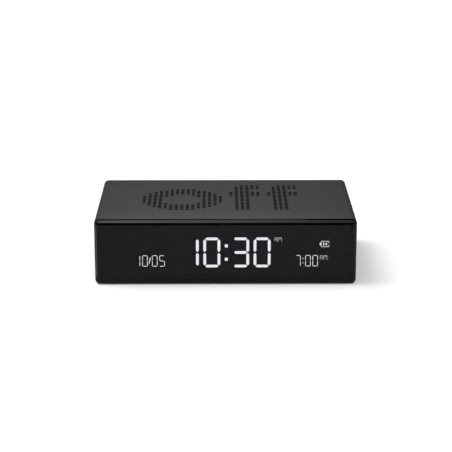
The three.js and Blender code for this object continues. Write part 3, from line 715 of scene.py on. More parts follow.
# %% Build the tree that cuts the slots
def slot_tree():
    """Cuts one flared slot at each point of the mesh that it gets."""
    tree = bpy.data.node_groups.new("cut slots", "GeometryNodeTree")
    sizes = ("Slot width", "Slot length", "Corner radius", "Flare", "Wall", "Overrun")
    inputs = {"Places": "Geometry", "Piece": "Object", "Finish": "Material"}
    inputs.update(dict.fromkeys(sizes, "Float"))
    given = ports(tree, inputs, "Shell with slots")

    def flared(size):
        twice = add(tree, "ShaderNodeMath", {0: given["Flare"], 1: 2.0}, operation="MULTIPLY")
        return add(tree, "ShaderNodeMath", {0: given[size], 1: twice}, operation="ADD")

    frame_curve = add(tree, "GeometryNodeCurvePrimitiveQuadrilateral", {
        "Width": flared("Slot width"), "Height": flared("Slot length")})
    soft_curve = add(tree, "GeometryNodeFilletCurve", {
        "Curve": frame_curve, "Count": 4, "Radius": given["Corner radius"], "Limit Radius": True,
    }, mode="POLY")
    mouth = add(tree, "GeometryNodeFillCurve", {"Curve": soft_curve})
    below = add(tree, "ShaderNodeVectorMath", {0: (0, 0, -1)}, operation="SCALE")
    shape, top = mouth, None
    deeper = add(tree, "ShaderNodeMath", {0: given["Wall"], 1: given["Overrun"]}, operation="ADD")
    for depth, narrows in ((given["Overrun"], False), (given["Flare"], True), (deeper, False)):
        pushed = add(tree, "GeometryNodeExtrudeMesh", {
            "Mesh": shape, "Offset": below, "Offset Scale": depth, "Individual": False,
            **({"Selection": top} if top else {})})
        shape, top = pushed.outputs["Mesh"], pushed.outputs["Top"]
        if narrows:
            ratios = [
                add(tree, "ShaderNodeMath", {0: given[size], 1: flared(size)}, operation="DIVIDE")
                for size in sizes[:2]]
            scale = add(tree, "ShaderNodeCombineXYZ", {"X": ratios[0], "Y": ratios[1], "Z": 1.0})
            here = add(tree, "GeometryNodeInputPosition")
            smaller = add(tree, "ShaderNodeVectorMath", {0: here, 1: scale}, operation="MULTIPLY")
            shape = add(tree, "GeometryNodeSetPosition", {
                "Geometry": shape, "Selection": top, "Position": smaller}).outputs[0]
    lid = add(tree, "GeometryNodeFlipFaces", {"Mesh": mouth})
    both = add(tree, "GeometryNodeJoinGeometry")
    tree.links.new(shape, both.inputs[0])
    tree.links.new(lid.outputs[0], both.inputs[0])
    closed = add(tree, "GeometryNodeMergeByDistance", {"Geometry": both, "Distance": MERGE})
    outwards = add(tree, "GeometryNodeFlipFaces", {"Mesh": closed})
    high = add(tree, "ShaderNodeCombineXYZ", {"Z": given["Overrun"]})
    cutter = add(tree, "GeometryNodeTransform", {"Geometry": outwards, "Translation": high})
    spots = add(tree, "GeometryNodeInstanceOnPoints", {"Points": given["Places"], "Instance": cutter})
    real = add(tree, "GeometryNodeRealizeInstances", {"Geometry": spots})
    shell = add(tree, "GeometryNodeObjectInfo", {"Object": given["Piece"]})
    cut = add(tree, "GeometryNodeMeshBoolean", {
        "Mesh 1": shell.outputs["Geometry"]}, operation="DIFFERENCE", solver="MANIFOLD")
    tree.links.new(real.outputs[0], cut.inputs["Mesh 2"])
    painted = add(tree, "GeometryNodeSetMaterial", {"Geometry": cut, "Material": given["Finish"]})
    add(tree, "NodeGroupOutput", {0: painted})
    return tree


cut_slots = slot_tree()
print("slot tree has", len(cut_slots.nodes), "nodes")

# %% [markdown]
# Hundreds of holes in one huge face leave an outline that no renderer fills without slips. So the
# flat faces are parted along the lines between the slots first, and each hole has a small face
# of its own.

# %% Part the flat faces between the slots
FLAT = 0.999    # a face counts as flat where its normal keeps this share along an axis


def between_slots(mesh, places):
    """The mesh, its flat faces parted midway between the rows and columns of the slots."""
    bm = bmesh.new()
    bm.from_mesh(mesh)
    for axis, pitch in ((0, column_pitch), (1, row_pitch)):
        first = min(place[axis] for place in places) - pitch / 2
        last = max(place[axis] for place in places) + pitch / 2
        across = Vector((1 - axis, axis, 0))
        for number in range(round((last - first) / pitch) + 1):
            flat = [face for face in bm.faces if abs(face.normal.z) > FLAT]
            edges = {edge for face in flat for edge in face.edges}
            corners = {corner for face in flat for corner in face.verts}
            bmesh.ops.bisect_plane(
                bm, geom=[*corners, *edges, *flat], plane_no=across,
                plane_co=across * (first + number * pitch))
    result = bpy.data.meshes.new("parted")
    bm.to_mesh(result)
    bm.free()
    print("parted into", len(result.polygons), "faces")
    return result


# %% Mould both shells
def perforated(name, places, extras):
    """A shell with its fittings and slots, about the middle of the clock."""
    whole = combined(shell_skin(), fittings() + extras, "UNION")
    bored = between_slots(combined(whole, screw_bores(), "DIFFERENCE"), places)
    return grown(
        name, cut_slots, places, bored, Slot_width=slot_width, Slot_length=slot_length,
        Corner_radius=slot_corner, Flare=slot_flare, Wall=wall, Overrun=slot_overrun, Finish=satin)


def paint_rim_and_slot_shade(cover):
    """Paints shade on the faces of the front rim and the walls of the slots, as a near-black, dull ABS
    in place of the lacquer.
    """
    forward_share, upward_share = -0.15, 0.9
    mesh = cover.data
    # The second slot holds the painted shade of the rim and the slot walls.
    mesh.materials.append(rim_and_slot_shade)
    for face in mesh.polygons:
        place = face.center
        rim = face.normal.y < forward_share and place.y < shell_front + rim_radius
        steep = abs(face.normal.z) < upward_share and abs(place.z - middle_z) > half_high - wall
        among_slots = abs(place.x) < half_wide - 2 * wall and abs(place.y) < shell_back - 2 * wall
        if rim or (steep and among_slots):
            face.material_index = 1


to_middle = Matrix.Translation((0, 0, middle_z))
upper = perforated("top_cover", off_places, [speaker_ring()])
upper.transform(to_middle)
paint_rim_and_slot_shade(keep("top_cover", upper, satin, replaces=["top_shell"]))

lower = perforated("bottom_cover", on_places, [])
lower.transform(to_middle @ Matrix.Rotation(math.pi, 4, "Y"))
paint_rim_and_slot_shade(keep("bottom_cover", lower, satin, replaces=["bottom_shell"]))

# %% [markdown]
# ## The window
# The window is a slab of smoked acrylic as large as the whole front. Its front edge is polished
# round, 2.2 mm across and 1 mm deep, and that curve mirrors first the sweep behind, then the soft
# box above and then the dark side of the room. The face has an anti-reflection coat, so it stays
# nearly black over a white floor. It could be made opaque with glowing digits on its face, but
# then the digits would not lie behind the surface, as they do in real life. Only the edge takes an
# opaque finish, because nothing but black ink lies behind it.

# %% Polish the window
window_low, window_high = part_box("front_window")
window_wide = window_high.x - window_low.x
window_tall = window_high.z - window_low.z
edge_wide = 2.2 * MM
edge_deep = 1.0 * MM
smoked, tree, shader = finish(
    "polished smoked acrylic", Base_Color=linear("#58585c"), IOR=1.49,
    Transmission_Weight=1.0, Specular_Tint=linear("#909094"))
haze = add(tree, "ShaderNodeMapRange", {
    "Value": lumps(tree, 20 * MM, detail=1.0), "To Min": 0.02, "To Max": 0.04})
tree.links.new(haze.outputs[0], shader.inputs["Roughness"])


def window_plans():
    """The window's outlines from its back to its face, rounded as a quarter of an ellipse."""
    back_edge = 0.1 * MM
    plans = [(back_edge, window_high.y), (0.0, window_high.y - back_edge)]
    for cosine, sine in quarter(12):
        plans.append((edge_wide * (1 - cosine), window_low.y + edge_deep * (1 - sine)))
    return plans


window_mesh = stepped(window_wide, window_tall, edge_radius, window_plans(), up=middle_z)
window = keep("display_window", window_mesh, smoked, replaces=["front_window"])

# %% Darken the window's edge
backed, tree, shader = finish(
    "polished acrylic over black ink", IOR=1.49, Specular_Tint=linear("#909094"))
vary(tree, shader, lumps(tree, 20 * MM, detail=1.0), ("#040405", "#060607"), (0.02, 0.04))
window.data.materials.append(backed)
for face in window.data.polygons:
    face.material_index = int(abs(face.normal.y) < FLAT)

# %% [markdown]
# A border of black ink is printed on the back of the window. It hides the glue, the gasket and
# the frame of the display, and leaves a clear field over the display itself.

# %% Print the border
ink, tree, shader = finish("black screen ink", Specular_IOR_Level=0.1)
vary(tree, shader, lumps(tree, 0.4 * MM), ("#040404", "#060607"), (0.6, 0.75))
print_gap, print_thick, print_inset = 0.005 * MM, 0.03 * MM, 0.11 * MM
print_front = window_high.y + print_gap
print_back = print_front + print_thick
field_wide, field_tall, field_radius = 95.8 * MM, 17.8 * MM, 0.8 * MM
border = stepped(window_wide - 2 * print_inset, window_tall - 2 * print_inset, edge_radius,
                 [(0.0, print_front), (0.0, print_back)], up=middle_z)
field = stepped(field_wide, field_tall, field_radius,
                [(0.0, print_front - MM), (0.0, print_back + MM)], up=middle_z)
keep("window_print", combined(border, [field], "DIFFERENCE"), ink)

# %% [markdown]
# ## What the display shows
# The display is a dark cell whose signs let light through. Each digit has seven bars with pointed
# ends that leave hairlines at the corners. A function draws one bar from corner to corner, and a
# table says which bars each sign lights. The signs are the plain ones of any digital clock. They
# lie on the cell, behind the window, as thin film, so their edges stay crisp at any distance.

# %% Draw the bars
film_gap, film_thick = 0.01 * MM, 0.04 * MM
film_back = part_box("display_cell")[0].y - film_gap
film_front = film_back - film_thick
bars = bmesh.new()


def plate(points):
    """A thin plate on the display cell, from (across, up) points in mm."""
    rings = [[bars.verts.new((x * MM, y, z * MM)) for x, z in points] for y in (film_front, film_back)]
    bars.faces.new(rings[0])
    bars.faces.new(reversed(rings[1]))
    for i in range(len(points)):
        j = (i + 1) % len(points)
        bars.faces.new((rings[0][j], rings[0][i], rings[1][i], rings[1][j]))


def bar(start, end, stroke, hairline):
    """A bar with pointed ends between two corners of a digit."""
    start, end = Vector(start), Vector(end)
    along = (end - start).normalized()
    half = stroke / 2
    aside = Vector((-along.y, along.x)) * half
    a, b = start + along * hairline, end - along * hairline
    plate([a, a + along * half - aside, b - along * half - aside, b, b - along * half + aside,
           a + along * half + aside])


SIGN_BARS = {
    "0": "abcdef", "1": "bc", "3": "abcdg", "5": "acdfg", "7": "abc", "A": "abcefg", "M": "abcefm"}
BAR_ENDS = {
    "a": ((0, 1), (1, 1)), "b": ((1, 1), (1, 0.5)), "c": ((1, 0.5), (1, 0)), "d": ((0, 0), (1, 0)),
    "e": ((0, 0.5), (0, 0)), "f": ((0, 1), (0, 0.5)), "g": ((0, 0.5), (1, 0.5)),
    "m": ((0.5, 1), (0.5, 0.5))}


def sign(mark, left, low, wide, high, stroke, hairline):
    """One sign, its corners at left and low in mm from the middle of the clock's foot."""
    for name in SIGN_BARS[mark]:
        ends = [(left + across * wide, low + up * high) for across, up in BAR_ENDS[name]]
        bar(*ends, stroke, hairline)


def dot(across, up, wide, high):
    """A square dot of a colon, or a cell of the battery mark."""
    x, z = wide / 2, high / 2
    plate([(across - x, up - z), (across + x, up - z), (across + x, up + z), (across - x, up + z)])

# %% Write time, date and alarm
time_row = {"low": 7.25, "wide": 5.7, "high": 11.4, "stroke": 1.13, "hairline": 0.22}
for mark, left in (("1", -17.0), ("0", -8.36), ("3", 3.2), ("0", 11.8)):
    sign(mark, left, **time_row)
colon = {"across": 0.31, "wide": 1.22, "high": 1.26}
for up in (15.71, 10.11):
    dot(up=up, **colon)

small_row = {"low": 7.2, "wide": 1.95, "high": 4.46, "stroke": 0.235, "hairline": 0.13}
for mark, left in (("1", -36.37), ("0", -33.35), ("0", -29.42), ("5", -26.46)):
    sign(mark, left, **small_row)
slash_foot, slash_head, slash_stroke = (-30.74, 8.2), (-30.22, 10.9), 0.3
bar(slash_foot, slash_head, slash_stroke, 0.0)
for mark, left in (("7", 28.12), ("0", 32.12), ("0", 35.02)):
    sign(mark, left, **small_row)
small_colon = {"across": 31.09, "wide": 0.3, "high": 0.38}
for up in (10.35, 8.5):
    dot(up=up, **small_colon)

half_day = {"high": 1.75, "stroke": 0.1, "hairline": 0.03}
a_wide, m_wide, m_start = 1.05, 1.3, 1.45
for left, low in ((19.67, 17.35), (38.0, 9.8)):
    sign("A", left, low, a_wide, **half_day)
    sign("M", left + m_start, low, m_wide, **half_day)
print("the rows of signs have", len(bars.faces), "faces")

# %% Draw the battery mark
battery_left, battery_right = 38.27, 41.37
battery_low, battery_high = 15.3, 17.56
battery_middle = (battery_low + battery_high) / 2
line, notch_share = 0.18, 0.36
nub = {"across": battery_left - 0.3, "wide": 0.5, "high": 0.95}
cell_wide, cell_high = 0.46, 1.1
for up in (battery_high, battery_low):
    bar((battery_left, up), (battery_right, up), line, 0.0)
bar((battery_left, battery_low), (battery_left, battery_high), line, 0.0)
for end, other in ((battery_high, battery_low), (battery_low, battery_high)):
    bar((battery_right, end), (battery_right, end + (other - end) * notch_share), line, 0.0)
dot(up=battery_middle, **nub)
for across in (39.3, 40.38):
    dot(across, battery_middle, cell_wide, cell_high)
print("all signs have", len(bars.faces), "faces")

# %% Light the signs
lit, tree, shader = finish(
    "backlit clear film", Base_Color=linear("#202022"), Roughness=0.6, Emission_Color=linear("#f6faf6"))
backlight = add(tree, "ShaderNodeMapRange", {
    "Value": lumps(tree, 9 * MM, detail=0.0), "To Min": 8.6, "To Max": 9.4})
tree.links.new(backlight.outputs[0], shader.inputs["Emission Strength"])
keep("lit_signs", as_mesh(bars), lit)

# %% [markdown]
# ## Spark-textured ABS
# The rear plate, the keys and the frame of the display are black ABS from a mould that was eroded
# by sparks. That leaves a fine, even, sandy texture with grains of about a sixth of a millimetre,
# which scatters light and hides fingerprints. The keys are touched most, so theirs is finer.

# %% Mix the spark texture
spark_abs = grained(
    "spark-textured ABS", ("#1a1a1b", "#222223"), roughness=(0.52, 0.66), grain=0.16 * MM,
    depth=0.012 * MM, IOR=1.53)
key_abs = grained(
    "finely textured ABS", ("#202021", "#272728"), roughness=(0.42, 0.52), grain=0.1 * MM,
    depth=0.004 * MM, IOR=1.53)

# %% [markdown]
# ## The rear plate
# A plate sits just inside the rear rim. It carries four keys, a selector and the charging socket,
# and four screws hold it. It is a slab with broken rims and flared holes, cut all at once. A small
# wedge by the selector and a bolt by the socket are engraved as plain signs of what they do. A
# bump could show them, but true cuts catch the light from every side.

# %% Measure the rear plate
plate_low, plate_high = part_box("rear_panel")
plate_front, plate_back = plate_low.y, plate_high.y
plate_radius, plate_edge = 0.8 * MM, 0.15 * MM
over = 1.0 * MM
key_names = ("mode", "set", "minus", "plus")
key_gap = 0.3 * MM
key_radius = 3.0 * MM
key_x = {name: sum(corner.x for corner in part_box("button_" + name)) / 2 for name in key_names}
selector_x = sum(corner.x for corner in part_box("selector_switch")) / 2
socket_low, socket_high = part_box("usb_socket")
socket_x = (socket_low.x + socket_high.x) / 2
socket_wide = socket_high.x - socket_low.x
socket_tall = socket_high.z - socket_low.z
screw_places = []
for number in range(1, 5):
    low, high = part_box("panel_screw_%d" % number)
    screw_places.append(((low.x + high.x) / 2, (low.z + high.z) / 2))
print("keys at x in mm:", {name: round(x / MM, 2) for name, x in key_x.items()})

# %% [markdown]
# The signs on the plate and the keys are pad-printed with pale grey ink. It dries dull and a little
# uneven, and stays readable on the black plastic without a glint of its own.

# %% Mix the pale ink
pale_ink = grained(
    "pale pad-print ink", ("#b9babb", "#c8c9ca"), roughness=(0.5, 0.62), grain=0.2 * MM,
    depth=0.002 * MM)


def ink_faces(piece, low, high):
    """Prints ink on the faces that look to the rear between two places along Y."""
    mesh = piece.data
    mesh.materials.append(pale_ink)
    rearward_share = 0.95
    inked = [face for face in mesh.polygons
             if face.normal.y > rearward_share and low < face.center.y < high]
    for face in inked:
        face.material_index = 1
    print(piece.name, "has", len(inked), "inked faces")


# %% Shape the cutting solids
def flared_hole(wide, high, radius, across, up):
    """A cutting solid for a hole through the plate, flared where it meets the rear face."""
    flare = 0.2 * MM
    plans = [(0.0, plate_front - over), (0.0, plate_back - flare)]
    plans += [(-flare, plate_back), (-flare, plate_back + over)]
    return stepped(wide, high, radius, plans, across, up)


def screw_seat(across, up):
    """A cutting solid for one screw: a bore with a counterbore for the head."""
    bore, seat, seat_deep, edge = 1.1 * MM, 2.1 * MM, 1.1 * MM, 0.15 * MM
    floor_y = screw_high.y - seat_deep
    front, back = plate_front - over, plate_back + over
    profile = [
        (0, front), (bore, front), (bore, floor_y), (seat, floor_y), (seat, plate_back - edge),
        (seat + edge, plate_back), (seat + edge, back), (0, back)]
    return turned(profile, (across, 0, up), sides=40)


BOLT_SIGN = [(0.35, 1.3), (-0.75, -0.15), (-0.1, -0.15), (-0.35, -1.3), (0.75, 0.15), (0.1, 0.15)]
WEDGE_SIGN = [(-2.4, 0.0), (2.4, 0.0), (2.4, 1.1)]
SIGN_DEPTH = 0.15 * MM


def engraved(outline, across, up):
    """A cutting solid for a shallow sign, its outline in mm."""
    scaled = [(x * MM, z * MM) for x, z in outline]
    return stamped(scaled, plate_back - SIGN_DEPTH, plate_back + over, across, up)

# %% Cut the rear plate
hole = key_radius + key_gap
socket_hole = (socket_wide + 2 * key_gap, socket_tall + 2 * key_gap, socket_tall / 2 + key_gap)
selector_hole = (7.8 * MM, 3.0 * MM, 0.5 * MM)
bolt_up, wedge_up = 4.4 * MM, 3.2 * MM
cuts = [flared_hole(2 * hole, 2 * hole, hole, x, middle_z) for x in key_x.values()]
cuts.append(flared_hole(*selector_hole, selector_x, middle_z))
cuts.append(flared_hole(*socket_hole, socket_x, middle_z))
cuts += [screw_seat(x, z) for x, z in screw_places]
cuts.append(engraved(BOLT_SIGN, socket_x, middle_z + bolt_up))
cuts.append(engraved(WEDGE_SIGN, selector_x, middle_z + wedge_up))
blank = soft_slab(
    plate_high.x - plate_low.x, plate_high.z - plate_low.z, plate_radius, plate_front, plate_back,
    plate_edge, up=middle_z)
rear_plate = keep(
    "rear_plate", combined(blank, cuts, "DIFFERENCE"), spark_abs, replaces=["rear_panel"])
ink_faces(rear_plate, plate_back - SIGN_DEPTH * 1.1, plate_back - SIGN_DEPTH * 0.9)

# %% [markdown]
# ## The keys
# Each key is a round cap with a flange behind the plate that keeps it in. Its rim is rounded, its
# face is dished so that a fingertip finds it, and a raised sign tells the keys apart by touch:
# three bars for the mode, a ring for setting, a minus and a plus. The cap is a profile turned
# about its axis. Each key rides on its own body, because each is pressed by itself.

# %% Draw a key cap and its sign
FLANGE_THICK = 0.8 * MM
FACE_DISH = 0.16 * MM
SIGN_TOP = 0.02 * MM    # how far the signs stay beneath the key's full height


def cap_profile(low, high):
    """Points of (radius, y) round half a key cap."""
    fillet, rim_drop = 0.45 * MM, 0.05 * MM
    flange = (high.x - low.x) / 2
    flange_back = low.y + FLANGE_THICK
    rim = high.y - rim_drop
    points = [(0, low.y), (flange, low.y), (flange, flange_back), (key_radius, flange_back)]
    for cosine, sine in quarter(8):
        points.append((key_radius - fillet * (1 - cosine), rim - fillet * (1 - sine)))
    steps = 10
    for step in range(1, steps + 1):
        share = 1 - step / steps
        points.append(((key_radius - fillet) * share, rim - FACE_DISH * (1 - share ** 2)))
    return points


def key_sign(name, x, top):
    """The raised sign of a key, as solids that are sunk into its face."""
    root, radius, edge = 0.5 * MM, 0.1 * MM, 0.05 * MM
    half, thick, thin, apart, hollow = 1.15 * MM, 0.42 * MM, 0.32 * MM, 0.75 * MM, 0.75 * MM
    strips = {
        "minus": [(2 * half, thick, 0.0)],
        "plus": [(2 * half, thick, 0.0), (thick, 2 * half, 0.0)],
        "mode": [(2 * half, thin, up * apart) for up in (-1, 0, 1)],
        "set": []}
    made = [soft_slab(wide, high, radius, top - root, top, edge, x, middle_z + up)
            for wide, high, up in strips[name]]
    if name == "set":
        profile = [(hollow, top - root), (half, top - root), (half, top), (hollow, top)]
        made.append(turned(profile, (x, 0, middle_z)))
    return made

# %% Turn the key caps
for name in key_names:
    low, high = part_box("button_" + name)
    cap = turned(cap_profile(low, high), (key_x[name], 0, middle_z), sides=72)
    marked = combined(cap, key_sign(name, key_x[name], high.y - SIGN_TOP), "UNION")
    cap = keep("cap_" + name, marked, key_abs, body="key_" + name,
               replaces=["button_" + name])
    ink_faces(cap, high.y - SIGN_TOP * 1.1, high.y)

# %% [markdown]
# ## The selector
# A small knob slides in a slot. Ribs across its face give the fingernail a hold, and a wide flange
# behind the plate covers the slot at both ends. The ribs are copies of one bar, set out by
# geometry nodes, and joined to the knob as one moulding.

# %% Mould the selector knob
knob_low, knob_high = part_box("selector_knob")
knob_wide, knob_tall, rib_rise = 3.2 * MM, 2.4 * MM, 0.25 * MM
knob_face = knob_high.y - rib_rise
flange_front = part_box("button_mode")[0].y
flange_back = flange_front + FLANGE_THICK
stem, overlap = 1.2 * MM, 0.4 * MM
rib_count, rib_pitch, rib_short, rib_root = 5, 0.56 * MM, 0.5 * MM, 0.3 * MM
rib = soft_slab(
    wide=0.28 * MM, high=knob_tall - rib_short, radius=0.08 * MM, front=knob_face - rib_root,
    back=knob_high.y - SIGN_TOP, edge=0.06 * MM)
rib_places = [
    (selector_x + (i - (rib_count - 1) / 2) * rib_pitch, 0, middle_z) for i in range(rib_count)]
knob_parts = [
    soft_slab(
        knob_high.x - knob_low.x, knob_high.z - knob_low.z, radius=0.4 * MM, front=flange_front,
        back=flange_back, edge=0.1 * MM, across=selector_x, up=middle_z),
    soft_slab(
        stem, stem, radius=0.15 * MM, front=knob_low.y, back=flange_front + overlap, edge=0.1 * MM,
        across=selector_x, up=middle_z),
    copies(rib, rib_places, key_abs)]
knob = soft_slab(
    knob_wide, knob_tall, radius=0.5 * MM, front=flange_back - overlap, back=knob_face,
    edge=0.12 * MM, across=selector_x, up=middle_z)
keep("knob_ribbed", combined(knob, knob_parts, "UNION"), key_abs, body="selector",
     replaces=["selector_knob"])

# %% [markdown]
# ## The charging socket
# The socket is a drawn steel shell with a tin finish, its mouth rolled so that a plug finds its
# way in. Inside stands a black tongue with gold contacts on both faces. The shell is one closed
# skin that runs from the back round the lip to the floor of the mouth. The contacts are copies.
# Tin is bright with soft blotches a millimetre or two wide, gold over bronze is smoother and warm,
# and the tongue is moulded epoxy, nearly black and half dull, as the chips on the boards are.

# %% Mix tin, gold and epoxy
tin_plate = grained(
    "bright tin plate", ("#b9bbbe", "#d0d2d4"), roughness=(0.22, 0.34), grain=1.5 * MM,
    depth=0.002 * MM, Metallic=1.0)
gold_plate = grained(
    "gold-plated bronze", ("#cfa24a", "#dfb767"), roughness=(0.2, 0.3), grain=0.5 * MM,
    depth=0.001 * MM, Metallic=1.0)
chip_resin = grained(
    "moulded epoxy", ("#161617", "#1f1f21"), roughness=(0.45, 0.6), grain=0.08 * MM,
    depth=0.003 * MM, IOR=1.55)

# %% Form the socket
socket_wall, socket_deep, socket_edge = 0.35 * MM, 5.0 * MM, 0.1 * MM
mouth_y = socket_high.y
floor_y = mouth_y - socket_deep
lip, lip_outer, lip_inner, lip_drop = 0.12 * MM, 0.04 * MM, 0.2 * MM, 0.03 * MM
shell_plans = [(socket_edge, socket_low.y), (0.0, socket_low.y + socket_edge), (0.0, mouth_y - lip)]
shell_plans += [(lip_outer, mouth_y - lip_drop), (lip, mouth_y), (lip_inner, mouth_y - lip_drop)]
shell_plans += [(socket_wall, mouth_y - 2 * lip), (socket_wall, floor_y)]
shell = stepped(socket_wide, socket_tall, socket_tall / 2, shell_plans, socket_x, middle_z)
keep("socket_shell", shell, tin_plate, replaces=["usb_socket"])

# %% Set the tongue and its contacts
tongue_wide, tongue_tall, tongue_inset = 6.6 * MM, 0.7 * MM, 0.6 * MM
tongue_end = mouth_y - tongue_inset
tongue_mesh = soft_slab(
    tongue_wide, tongue_tall, radius=0.2 * MM, front=floor_y, back=tongue_end, edge=0.08 * MM,
    across=socket_x, up=middle_z)
keep("socket_tongue", tongue_mesh, chip_resin)
contact_pitch, contact_count, contact_inset = 0.5 * MM, 12, 0.3 * MM
contact = soft_slab(
    wide=0.25 * MM, high=0.05 * MM, radius=0.01 * MM, front=floor_y + contact_inset,
    back=tongue_end - contact_inset, edge=0.01 * MM)
contact_places = [
    (socket_x + (i - (contact_count - 1) / 2) * contact_pitch, 0, middle_z + side * tongue_tall / 2)
    for i in range(contact_count) for side in (-1, 1)]
keep("socket_contacts", copies(contact, contact_places, gold_plate), gold_plate)

# %% [markdown]
# ## The panel screws
# Four pan-head screws with a cross recess hold the plate. They are steel with black zinc plating,
# rolled thread and all. One screw is turned from a profile whose thread is a row of ridges, its
# cross is cut by two tapered blades, and geometry nodes set four of them out. Black zinc is a dark
# skin on the metal, which keeps a dull metallic sheen and is finer than paint.

# %% Draw a screw
black_zinc = grained(
    "black zinc plate on steel", ("#2b2c2e", "#3a3b3e"), roughness=(0.28, 0.42), grain=0.4 * MM,
    depth=0.002 * MM, Metallic=0.9)


def screw_profile():
    """Points of (radius, y) round half a screw, its tip at the front."""
    head, head_thick, shank, edge, crown_share = 1.8 * MM, 1.0 * MM, 0.8 * MM, 0.3 * MM, 0.3
    tip, plain_start, plain_ends = 0.1 * MM, 0.3 * MM, 0.6 * MM
    thread_pitch, ridge = 0.45 * MM, 0.18 * MM
    head_front = screw_high.y - head_thick
    points = [(0, screw_low.y), (shank / 2, screw_low.y + tip)]
    turns = int((head_front - screw_low.y - plain_ends) / thread_pitch)
    for turn in range(turns):
        start = screw_low.y + plain_start + turn * thread_pitch
        points += [(shank - ridge, start), (shank, start + thread_pitch / 2)]
    points += [(shank - ridge, head_front), (head, head_front), (head, screw_high.y - edge)]
    crown = edge * crown_share
    points += [(head - crown, screw_high.y - crown), (head - edge, screw_high.y)]
    return points + [(0, screw_high.y)]


def cross_blade(wide, high):
    """One tapered blade of the cross recess."""
    taper, deep, above, radius = 0.16 * MM, 0.7 * MM, 0.1 * MM, 0.05 * MM
    plans = [(taper, screw_high.y - deep), (0.0, screw_high.y + above)]
    return stepped(wide, high, radius, plans)

# %% Turn the screws
cross_long, cross_thin = 2.0 * MM, 0.5 * MM
blades = [cross_blade(cross_long, cross_thin), cross_blade(cross_thin, cross_long)]
one_screw = combined(turned(screw_profile(), (0, 0, 0), sides=40), blades, "DIFFERENCE")
four_screws = copies(one_screw, [(x, 0, z) for x, z in screw_places], black_zinc)
keep("panel_screws", four_screws, black_zinc,
     replaces=["panel_screw_%d" % number for number in range(1, 5)])

# %% [markdown]
# ## Acoustic cloth
# A black woven cloth is stretched behind the slots, so that sound passes and dust does not. It is a
# plain weave of polyester with threads a third of a millimetre apart. Two sets of waves, one for
# each direction of the threads, give the weave its height and its slight change of colour.

# %% Weave the cloth
def threads(tree, pitch, axis):
    """Waves across the threads of a cloth, pitch metres apart along an axis."""
    wave_length = 2 * math.pi / 20
    place = add(tree, "ShaderNodeTexCoord").outputs["Object"]
    return add(tree, "ShaderNodeTexWave", {
        "Vector": place, "Scale": wave_length / pitch}, bands_direction=axis).outputs["Fac"]


def woven(name, colours, pitch, depth):
    """A plain weave of two sets of threads."""
    material, tree, shader = finish(name, Sheen_Weight=0.15, Specular_IOR_Level=0.2)
    crossed = add(tree, "ShaderNodeMath", {
        0: threads(tree, pitch, "X"), 1: threads(tree, pitch, "Y")}, operation="MAXIMUM")
    vary(tree, shader, crossed, colours, (0.8, 0.9), depth)
    return material


cloth = woven("black polyester cloth", ("#0a0a0b", "#141416"), pitch=0.33 * MM, depth=0.08 * MM)

# %% Stretch the cloths
hair, cloth_corner = 0.03 * MM, 1.5 * MM


def stretched(name, node, outline_mesh):
    """A cloth in place of its CAD solid, glued flat behind the slots."""
    piece = keep(name, outline_mesh, cloth, replaces=[node])


def cloth_slab(node):
    """A thin cloth with round corners that fills its CAD solid but for a hair."""
    low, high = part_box(node)
    wide, deep = high.x - low.x, high.y - low.y
    outline = placed(rounded(wide, deep, cloth_corner), (low.x + high.x) / 2, (low.y + high.y) / 2)
    return lying([(outline, low.z + hair), (outline, high.z - hair)]), (wide, deep)


low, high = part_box("speaker_cloth")
disc_radius = (high.x - low.x) / 2
under, upon = low.z + hair, high.z - hair
disc_profile = [(0, under), (disc_radius, under), (disc_radius, upon), (0, upon)]
disc = turned(disc_profile, ((low.x + high.x) / 2, (low.y + high.y) / 2, 0), axis="Z")
stretched("cloth_round", "speaker_cloth", disc)
for name, node in (("cloth_upper", "top_cloth"), ("cloth_lower", "bottom_cloth")):
    mesh, flat = cloth_slab(node)
    stretched(name, node, mesh)

# %% [markdown]
# ## The display stack
# Behind the window lie the dark display cell, a clear light guide with its strip of lamps, a white
# reflector and the rubber strip that connects the cell to its board. The cell is glass with a
# polarising film that is nearly black, the guide is moulded acrylic, and the reflector is white
# film. The framed field must stay as dark as the ink round it, so that no edge shows in front.

# %% Finish the display stack
cell_glass = grained(
    "display glass with polarising film", ("#040405", "#060607"), roughness=(0.14, 0.2),
    grain=8 * MM, depth=0.0005 * MM, IOR=1.52, Specular_IOR_Level=0.1)
guide_acrylic = grained(
    "clear moulded acrylic", ("#eef3f3", "#f8fafa"), roughness=(0.04, 0.12), grain=2 * MM,
    depth=0.002 * MM, IOR=1.49, Transmission_Weight=1.0)
white_film = grained(
    "matt white film", ("#ededea", "#f6f6f4"), roughness=(0.4, 0.52), grain=0.25 * MM,
    depth=0.002 * MM)

# %% [markdown]
# Seals and pads are foam rubber with closed cells of just under half a millimetre. Cells that are
# cut open are small pits that swallow light, so the foam is duller than any plastic beside it.

# %% Mix the foam
def celled(name, colours, cell, depth):
    """Foam or rubber with open cells about that wide, in metres."""
    material, tree, shader = finish(name, Specular_IOR_Level=0.25)
    place = add(tree, "ShaderNodeTexCoord").outputs["Object"]
    cells = add(tree, "ShaderNodeTexVoronoi", {"Vector": place, "Scale": 1 / cell}).outputs["Distance"]
    vary(tree, shader, cells, colours, (0.92, 0.8), depth)
    return material


foam = celled("closed-cell rubber foam", ("#161617", "#2c2c2e"), cell=0.4 * MM, depth=0.06 * MM)

# %% [markdown]
# ## Boards, chips and plugs
# The two circuit boards are glass laminate under green solder mask. The mask lies a little higher
# over the copper tracks, so a pattern of long bricks gives both their height and their lighter
# green. Plugs and plungers are natural nylon, a milky plastic that light enters a little way.

